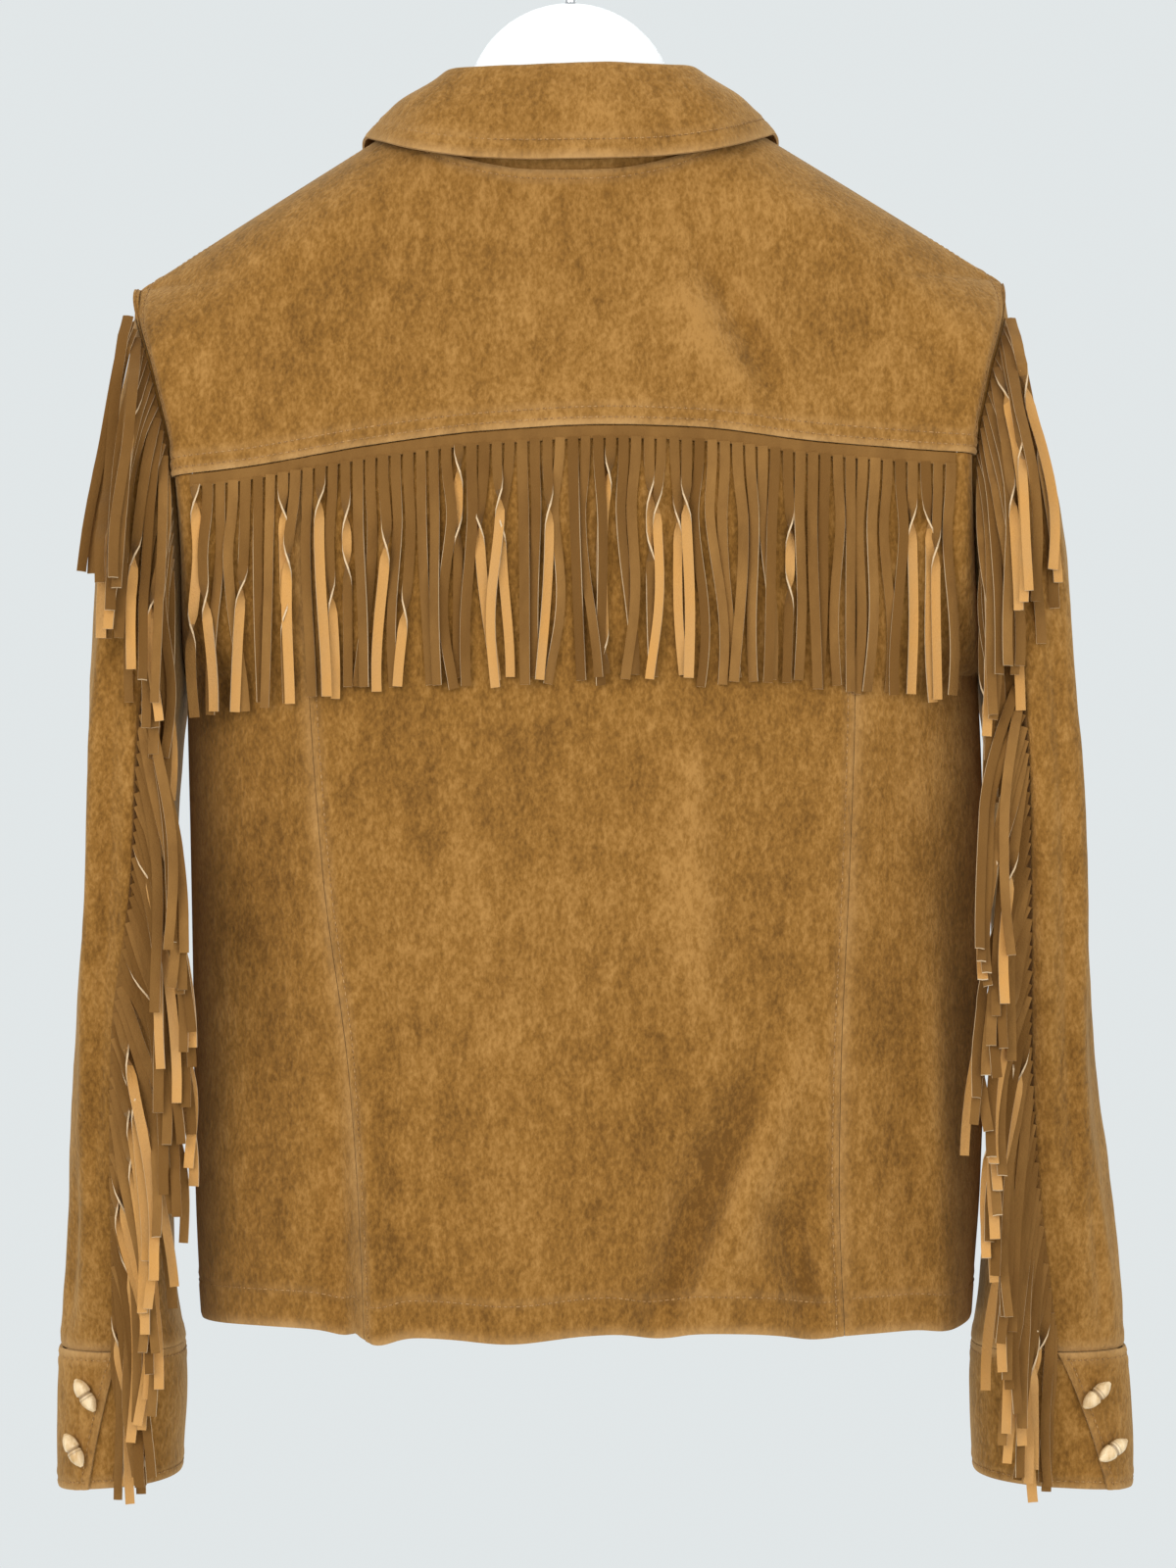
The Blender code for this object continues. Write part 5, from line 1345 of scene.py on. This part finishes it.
def add_yoke_fringe(pieces):
    trees = [tree_of(pieces[name]) for name in ("back_centre", "back_side_left", "back_side_right")]
    rng = np.random.default_rng(23)
    comb = Comb()
    s = np.linspace(0, 1, STRAND_POINTS)
    places = np.arange(*YOKE_ENDS, YOKE_PITCH)
    across = np.linspace(places[0] - STRAND_WIDTH / 2, places[-1] + STRAND_WIDTH / 2, 120)
    seam = read(YOKE_SEAM, "z", across) - 2 * GAP
    comb.strip(*(strip_line(trees, across, height) for height in (seam, seam - STRIP_HEIGHT)))
    light = {int(np.argmin(np.abs(places - row["x"]))): row for row in LIGHT_STRANDS}
    bed = Bed(trees, (-0.196, -0.460), (0.196, -0.245))
    for number in rng.permutation(len(places)):
        middle = places[number]
        top = float(read(YOKE_SEAM, "z", middle)) - 2 * GAP - STRIP_HEIGHT + 0.001
        tip = float(read(YOKE_TIPS, "z", middle)) + rng.uniform(-TIP_STRAY, TIP_STRAY)
        length = top - tip
        z = blend(top, tip, s)
        sway = rng.uniform(-YOKE_SWAY, YOKE_SWAY)
        bow = rng.uniform(-YOKE_BOW, YOKE_BOW)
        x = middle + sway * s**1.3 + bow * np.sin(s * math.pi * rng.uniform(1.1, 2.3)) * ease(s * 3)
        yaw = math.radians(rng.uniform(-YOKE_YAW, YOKE_YAW))
        flips = []
        if number in light:
            flips = [top - light[number]["top"]]
            if light[number]["bottom"] > tip + 0.012:
                flips.append(top - light[number]["bottom"])
        turn = yaw * ease(s * 2.5) + turned(s, length, flips, rng.choice([-1, 1]))
        reach = STRAND_WIDTH / 2 * np.abs(np.sin(turn))
        free = rng.uniform(0.0005, 0.0025) * s**1.3
        under = bed.under(x, z, STRAND_WIDTH / 2)
        depth = under + STRAND_THICK / 2 + BED_CLEAR + reach + free
        depth = smoothed(np.maximum(depth, under[0] + STRIP_CLEAR + STRAND_THICK * (1 - s)), 3)
        bed.lay(x, depth, z, STRAND_WIDTH / 2)
        width = STRAND_WIDTH * rng.uniform(*WIDTHS) * (1 - NARROWS * s)
        comb.ribbon(np.stack([x, depth, z], axis=-1), turn, width, rng.uniform(0, 1))
    return comb.add("fringe_yoke")


class Bed:
    """The outermost surface behind a seam's strands, as a grid of depths that each strand adds to."""

    def __init__(self, trees, low, high):
        self.x = np.arange(low[0], high[0], BED_X)
        self.z = np.arange(low[1], high[1], BED_Z)
        self.depth = np.array([[cover(trees, x, z) for x in self.x] for z in self.z])

    def under(self, x, z, half):
        """The outermost depth across a ribbon at each point of its path."""
        found = []
        for middle, height in zip(x, z):
            row = int(np.clip(round((height - self.z[0]) / BED_Z), 0, len(self.z) - 1))
            first = int(np.clip((middle - half - self.x[0]) / BED_X, 0, len(self.x) - 1))
            last = int(np.clip((middle + half - self.x[0]) / BED_X + 1, first + 1, len(self.x)))
            rows = slice(max(row - 1, 0), row + 2)
            found.append(self.depth[rows, first:last].max())
        return np.array(found)

    def lay(self, x, y, z, half):
        for row in range(len(self.z)):
            if not z[-1] - BED_Z <= self.z[row] <= z[0] + BED_Z:
                continue
            middle, depth = (np.interp(self.z[row], z[::-1], line[::-1]) for line in (x, y))
            within = np.abs(self.x - middle) < half + BED_X / 2
            self.depth[row, within] = np.maximum(self.depth[row, within], depth + STRAND_THICK / 2)


def smoothed(values, passes):
    for _ in range(passes):
        inner = (values[:-2] + 2 * values[1:-1] + values[2:]) / 4
        values = np.concatenate([values[:1], inner, values[-1:]])
    return values


def add_seam_fringe(name, sign, trees, seam, span, rows, reach, low_reach, spread, light_share, seed):
    """Strands down a seam, each laid over the ones whose roots are below its own.

    reach is the least and greatest share of the row's sideways run that a strand makes, low_reach
    scales it at the lowest root, and spread is how far a tip strays from it. light_share of the
    strands turn their smooth face out.
    """
    heights = np.linspace(*span, SEAM_STEPS)
    depths = np.array([cover(trees, sign * float(seam(z)), float(z)) for z in heights])
    run = np.concatenate([[0], np.cumsum(np.hypot(np.diff(heights), np.diff(depths)))])
    count = int((run[-1] - ROOT) / SEAM_PITCH) + 1
    rng = np.random.default_rng(seed)
    comb = Comb()
    s = np.linspace(0, 1, STRAND_POINTS)
    places = np.linspace(0, (count - 1) * SEAM_PITCH + ROOT, 90)
    level = np.interp(places, run, heights)
    middle = sign * seam(level)
    half = STRIP_WIDTH / 2
    comb.strip(*(strip_line(trees, middle + step, level) for step in (-half, half)))
    bed = Bed(trees, (middle.min() - 0.045, span[1] - 0.13), (middle.max() + 0.045, span[0] + 0.004))
    for i in reversed(range(count)):
        z_root = float(np.interp(i * SEAM_PITCH + ROOT / 2, run, heights))
        x_root = sign * float(seam(z_root))
        side = sign * float(by_side(rows, "side_", z_root, sign))
        run_share = (z_root - span[1]) / (span[0] - span[1])
        side = side * rng.uniform(*reach) * blend(low_reach, 1, run_share)
        stray = spread * rng.choice([-1, 1]) * rng.uniform(0, 1) ** 0.8
        drop = float(read(rows, "drop", z_root)) + rng.uniform(-0.010, 0.006)
        bow = rng.uniform(-SEAM_BOW, SEAM_BOW)
        wave = bow * np.sin(s * math.pi * rng.uniform(1.0, 2.4))
        x = x_root + side * (1 - (1 - s) ** 2.0) + stray * s**0.8 + wave
        z = z_root - drop * s
        flips = []
        if rng.uniform() < light_share:
            flips = [drop * rng.uniform(0.10, 0.60)]
        yaw = math.radians(rng.uniform(-SEAM_YAW, SEAM_YAW))
        turn = yaw * ease(s * 2) + turned(s, drop, flips, rng.choice([-1, 1]))
        width = STRAND_WIDTH * rng.uniform(*WIDTHS) * (1 - NARROWS * s)
        root_depth = cover(trees, x_root, z_root) + STRIP_CLEAR + STRIP_THICK
        edge = width / 2 * np.abs(np.sin(turn))
        need = bed.under(x, z, STRAND_WIDTH / 2) + STRAND_THICK / 2 + BED_CLEAR + edge
        need[0] = max(need[0], root_depth)
        depth = smoothed(np.maximum.accumulate(need), 3)
        depth = np.maximum(depth, need) + float(read(rows, "off", z_root)) * 0.12 * s**2
        bed.lay(x, depth, z, STRAND_WIDTH / 2)
        comb.ribbon(np.stack([x, depth, z], axis=-1), turn, width, rng.uniform(0, 1))
    return comb.add(name)


# Stitching

STITCH = 0.0022
STITCH_PITCH = 0.0031
STITCH_RADIUS = 0.00034


def add_stitching():
    """Every row of stitches, as one mesh of short rounded bars."""
    points, faces = [], []
    shape = ((-1.0, 0.3), (-0.6, 1.0), (0.6, 1.0), (1.0, 0.3))
    corners = [math.pi / 4 + corner * math.pi / 2 for corner in range(4)]
    for line, normals in stitches:
        run = np.concatenate([[0], np.cumsum(np.linalg.norm(np.diff(line, axis=0), axis=1))])
        for place in np.arange(STITCH_PITCH, run[-1] - STITCH_PITCH, STITCH_PITCH):
            middle = np.array([np.interp(place, run, column) for column in line.T])
            ahead = np.array([np.interp(place + STITCH / 2, run, column) for column in line.T]) - middle
            out = unit(np.array([np.interp(place, run, column) for column in normals.T]))
            along = unit(ahead - out * (ahead @ out))
            side = np.cross(along, out)
            faces += rod_faces(len(shape), len(corners), len(points))
            for share, wide in shape:
                centre = middle + along * share * STITCH / 2 + out * STITCH_RADIUS * 0.35 * wide
                ring = [side * math.cos(angle) + out * math.sin(angle) for angle in corners]
                points += [centre + way * STITCH_RADIUS * wide for way in ring]
    return add_piece("stitching", points, faces, thread, "suede")


# Toggles, hanger and hook

TOGGLE_SIDES = 24
TOGGLE_RINGS = 26
CAP_EDGE = 0.01  # the groove at the acorn's cap, along the toggle, and a finer one beside it
CAP_LINE = 0.20


def dent(along, place, reach):
    return np.exp(-(((along - place) / reach) ** 2))


def add_toggle(name, point, normal, axis):
    """An acorn toggle that lies on the cloth at a point, turned from its profile."""
    axis = unit(axis - normal * (axis @ normal))
    other = np.cross(axis, normal)
    middle = point + normal * (TOGGLE_WIDTH / 2 + GAP)
    along = np.linspace(-0.985, 0.985, TOGGLE_RINGS)
    out = read(TOGGLE_PROFILE, "out", along) - 0.10 * dent(along, CAP_EDGE, 0.05)
    turns = np.linspace(0, 2 * math.pi, TOGGLE_SIDES, endpoint=False)[:, None]
    circle = normal * np.cos(turns) + other * np.sin(turns)
    spine = axis * (along * TOGGLE_LENGTH / 2)[:, None, None]
    rings = middle + spine + circle[None] * (out * TOGGLE_WIDTH / 2)[:, None, None]
    groove = dent(along, CAP_EDGE, 0.055) + 0.5 * dent(along, CAP_LINE, 0.03)
    marks = {"groove": np.repeat(np.clip(groove, 0, 1), TOGGLE_SIDES)}
    faces = rod_faces(TOGGLE_RINGS, TOGGLE_SIDES)
    return add_piece(name, rings.reshape(-1, 3), faces, wood, "toggle_wood", [name], marks)


def add_toggles(pieces):
    for side, sign in (("left", 1), ("right", -1)):
        for number, row in enumerate(CUFF_TOGGLES, 1):
            fall = np.full((1, 1), row["fall"])
            turn = np.full((1, 1), row["turn_" + side])
            slope = row["slope_" + side]
            lift = np.full((1, 1), WALL + 2 * GAP)
            place = cuff_point(sign, turn, fall, lift)[0, 0]
            ahead = cuff_point(sign, turn + 0.01, fall, lift)[0, 0] - place
            below = cuff_point(sign, turn, fall + 0.01, lift)[0, 0] - place
            normal = unit(np.cross(ahead, below))
            normal = normal * np.sign(normal[1])
            axis = np.array([-math.cos(slope), 0, math.sin(slope)])
            name = f"cuff_toggle_{side}_{number}"
            pieces[name] = add_toggle(name, place, normal, axis)
    for i, z in enumerate(FRONT_TOGGLES):
        f, height = np.zeros(1), np.full(1, z)
        normal = body_normal(-1, f, height)[0]
        place = body_point(-1, f, height)[0] + normal * (WALL + 3 * GAP)
        name = f"front_toggle_{i + 1}"
        pieces[name] = add_toggle(name, place, normal, np.array([1.0, 0, 0]))


def add_hanger():
    """The plate's dome and the arms, as one rounded section swept across."""
    reaches = np.concatenate([np.linspace(0, PLATE_END, 26), np.linspace(ARM_START, HANGER_HALF, 40)])
    clear = (WALL + ARM_CLEAR) / math.cos(math.atan(SHOULDER_FALL))
    rows = []
    for x in np.concatenate([-reaches[:0:-1], reaches]):
        reach = abs(x)
        plate = reach <= PLATE_END
        widened = float(ease((reach - ARM_NARROW) / ARM_WIDENS))
        depth = float(body_depth(1, np.array([x]), np.array([ridge(x) - ARM_DEPTH_AT]))[0])
        half = min(PLATE_HALF if plate else blend(ARM_THIN, ARM_HALF, widened), 0.45 * depth)
        top = float(hanger_top(np.array(x)))
        fall = HANGER_DEPTH * (0.55 + 0.45 * float(ease((0.2 - reach) / 0.1)))
        bottom = min(top - ARM_LEAST, float(ridge(x)) - fall)
        ring = []
        for angle in np.linspace(0, math.pi, 9):
            y = math.cos(angle) * half
            drop = (PLATE_CORNER if plate else ARM_CORNER) * (1 - math.sin(angle))
            if not plate:
                share = min(abs(y) / (ARM_ROUND * depth), 0.95)
                drop += ROUND_OVER * (1 - math.sqrt(1 - share**2)) + clear
            ring.append((x, y, top - drop))
        rows.append(ring + [(x, -half * 0.95, bottom), (x, half * 0.95, bottom)])
    points = np.array(rows)
    faces = rod_faces(*points.shape[:2])
    return add_piece("hanger", points.reshape(-1, 3), faces, plastic, "hanger_white", ["hanger"])


HOOK_ENDS = (-58, 205)  # degrees
HOOK_SHANK = 0.010
HOOK_LEAN = 0.0012
HOOK_SIDES = 16


def add_hook():
    """A wire from the plate's top round the hook, whose inside top is at the origin."""
    radius = (HOOK_INSIDE + HOOK_WIRE) / 2
    centre = -HOOK_INSIDE / 2
    angles = np.linspace(*(math.radians(angle) for angle in HOOK_ENDS), 15)
    circle = [(radius * math.cos(angle), centre + radius * math.sin(angle)) for angle in angles]
    foot = DOME_TOP + GAP
    bend = (HOOK_LEAN, foot + HOOK_SHANK)
    route = [(0.0, foot), (0.0, foot + 0.6 * HOOK_SHANK), bend]
    route.append((blend(bend[0], circle[0][0], 0.55), blend(bend[1], circle[0][1], 0.58)))
    route = spline(np.array(route + circle), 4)
    path = np.stack([route[:, 0], 0 * route[:, 0], route[:, 1]], axis=-1)
    out = np.array([0.0, 1.0, 0.0])
    side = np.cross(unit(np.gradient(path, axis=0)), out)[:, None]
    turns = np.linspace(0, 2 * math.pi, HOOK_SIDES, endpoint=False)[None, :, None]
    rings = path[:, None] + HOOK_WIRE / 2 * (side * np.cos(turns) + out * np.sin(turns))
    faces = rod_faces(len(path), HOOK_SIDES)
    return add_piece("hanger_hook", rings.reshape(-1, 3), faces, steel, "hook_steel", ["hanger_hook"])


# Camera, light and floor

CAMERA_PLACE = (-0.0088, 1.8, -0.455)
CAMERA_LENS = 82.65
FLOOR_HALF = 2.2
FLOOR_Z = -1.35
LIGHTS = records(
    "x y z size power",
    (1.35, 2.35, 0.40, 1.8, 45),
    (-1.20, 2.40, -0.30, 2.2, 34),
    (0.00, -2.30, 0.90, 2.0, 30),
    (0.20, 1.60, 1.80, 1.6, 3),
)


def put_in_scene(name, data, place=(0, 0, 0)):
    thing = bpy.data.objects.new(name, data)
    thing.location = place
    bpy.context.scene.collection.objects.link(thing)
    return thing


def add_stage():
    """The camera, the lamps, the sky and the floor."""
    scene = bpy.context.scene
    data = bpy.data.cameras.new("camera")
    data.lens = CAMERA_LENS
    data.sensor_width = 36
    data.clip_end = 30
    scene.camera = put_in_scene("camera", data, CAMERA_PLACE)
    scene.camera.rotation_euler = (math.radians(90), 0, math.radians(180))
    for i, row in enumerate(LIGHTS):
        light = bpy.data.lights.new(f"light_{i}", "AREA")
        light.energy = row["power"]
        light.size = row["size"]
        lamp = put_in_scene(f"light_{i}", light, (row["x"], row["y"], row["z"]))
        aim = Vector((0, 0, -0.45)) - lamp.location
        lamp.rotation_euler = aim.to_track_quat("-Z", "Y").to_euler()
    scene.world = bpy.data.worlds.new("studio")
    scene.world.use_nodes = True
    sky = scene.world.node_tree.nodes["Background"]
    sky.inputs["Color"].default_value = WALL_COLOUR
    sky.inputs["Strength"].default_value = 1.0
    scene.view_settings.view_transform = "Standard"
    mesh = bpy.data.meshes.new("floor")
    corners = ((-1, -1), (1, -1), (1, 1), (-1, 1))
    mesh.from_pydata([(x * FLOOR_HALF, y * FLOOR_HALF, FLOOR_Z) for x, y in corners], [], [(0, 1, 2, 3)])
    n = Nodes("floor_paint")
    cloud = n.noise(3, 2.0, 0.5)
    colour = n.mix(n.spread(cloud, 0.3, 0.7, 0.0, 0.3), FLOOR, FLOOR_CLOUD)
    rough = n.spread(cloud, 0.3, 0.7, 0.8, 0.9)
    mesh.materials.append(n.finish(colour, rough, n.bump(cloud, 0.02, 0.001)))
    put_in_scene("floor", mesh)


cloth, strands, thread = suede(), strand_suede(), thread_stuff()
wood, plastic, steel = toggle_wood(), white_plastic(), steel_wire()
add_stage()
pieces = add_body()
for side, sign in (("left", 1), ("right", -1)):
    pieces["sleeve_" + side] = add_sleeve("sleeve_" + side, sign)
    pieces["cuff_" + side] = add_cuff("cuff_" + side, sign)
pieces.update(add_collar())
pieces["fringe_yoke"] = add_yoke_fringe(pieces)
for side, sign, seed in (("left", 1, 31), ("right", -1, 47)):
    sleeve_tree, cuff_tree = tree_of(pieces["sleeve_" + side]), tree_of(pieces["cuff_" + side])
    pieces["fringe_armhole_" + side] = add_seam_fringe(
        "fringe_armhole_" + side, sign, [sleeve_tree],
        lambda z: by_side(BODY, "", z, sign) + ARMHOLE_STRIP,
        (ARMHOLE_SPAN[0] + SHOULDER_REACH, ARMHOLE_SPAN[1]),
        ARMHOLE_FRINGE, (0.15, 0.85), 0.15, 0.0045, 0.22, seed,
    )
    pieces["fringe_sleeve_" + side] = add_seam_fringe(
        "fringe_sleeve_" + side, sign, [sleeve_tree, cuff_tree],
        lambda z: by_side(SLEEVE, "seam_", z, sign), SLEEVE_SPAN,
        SLEEVE_FRINGE, (0.55, 1.05), 1.0, 0.0055, 0.36, seed + 1,
    )
pieces["stitching"] = add_stitching()
pieces["hanger"] = add_hanger()
add_hook()
add_toggles(pieces)
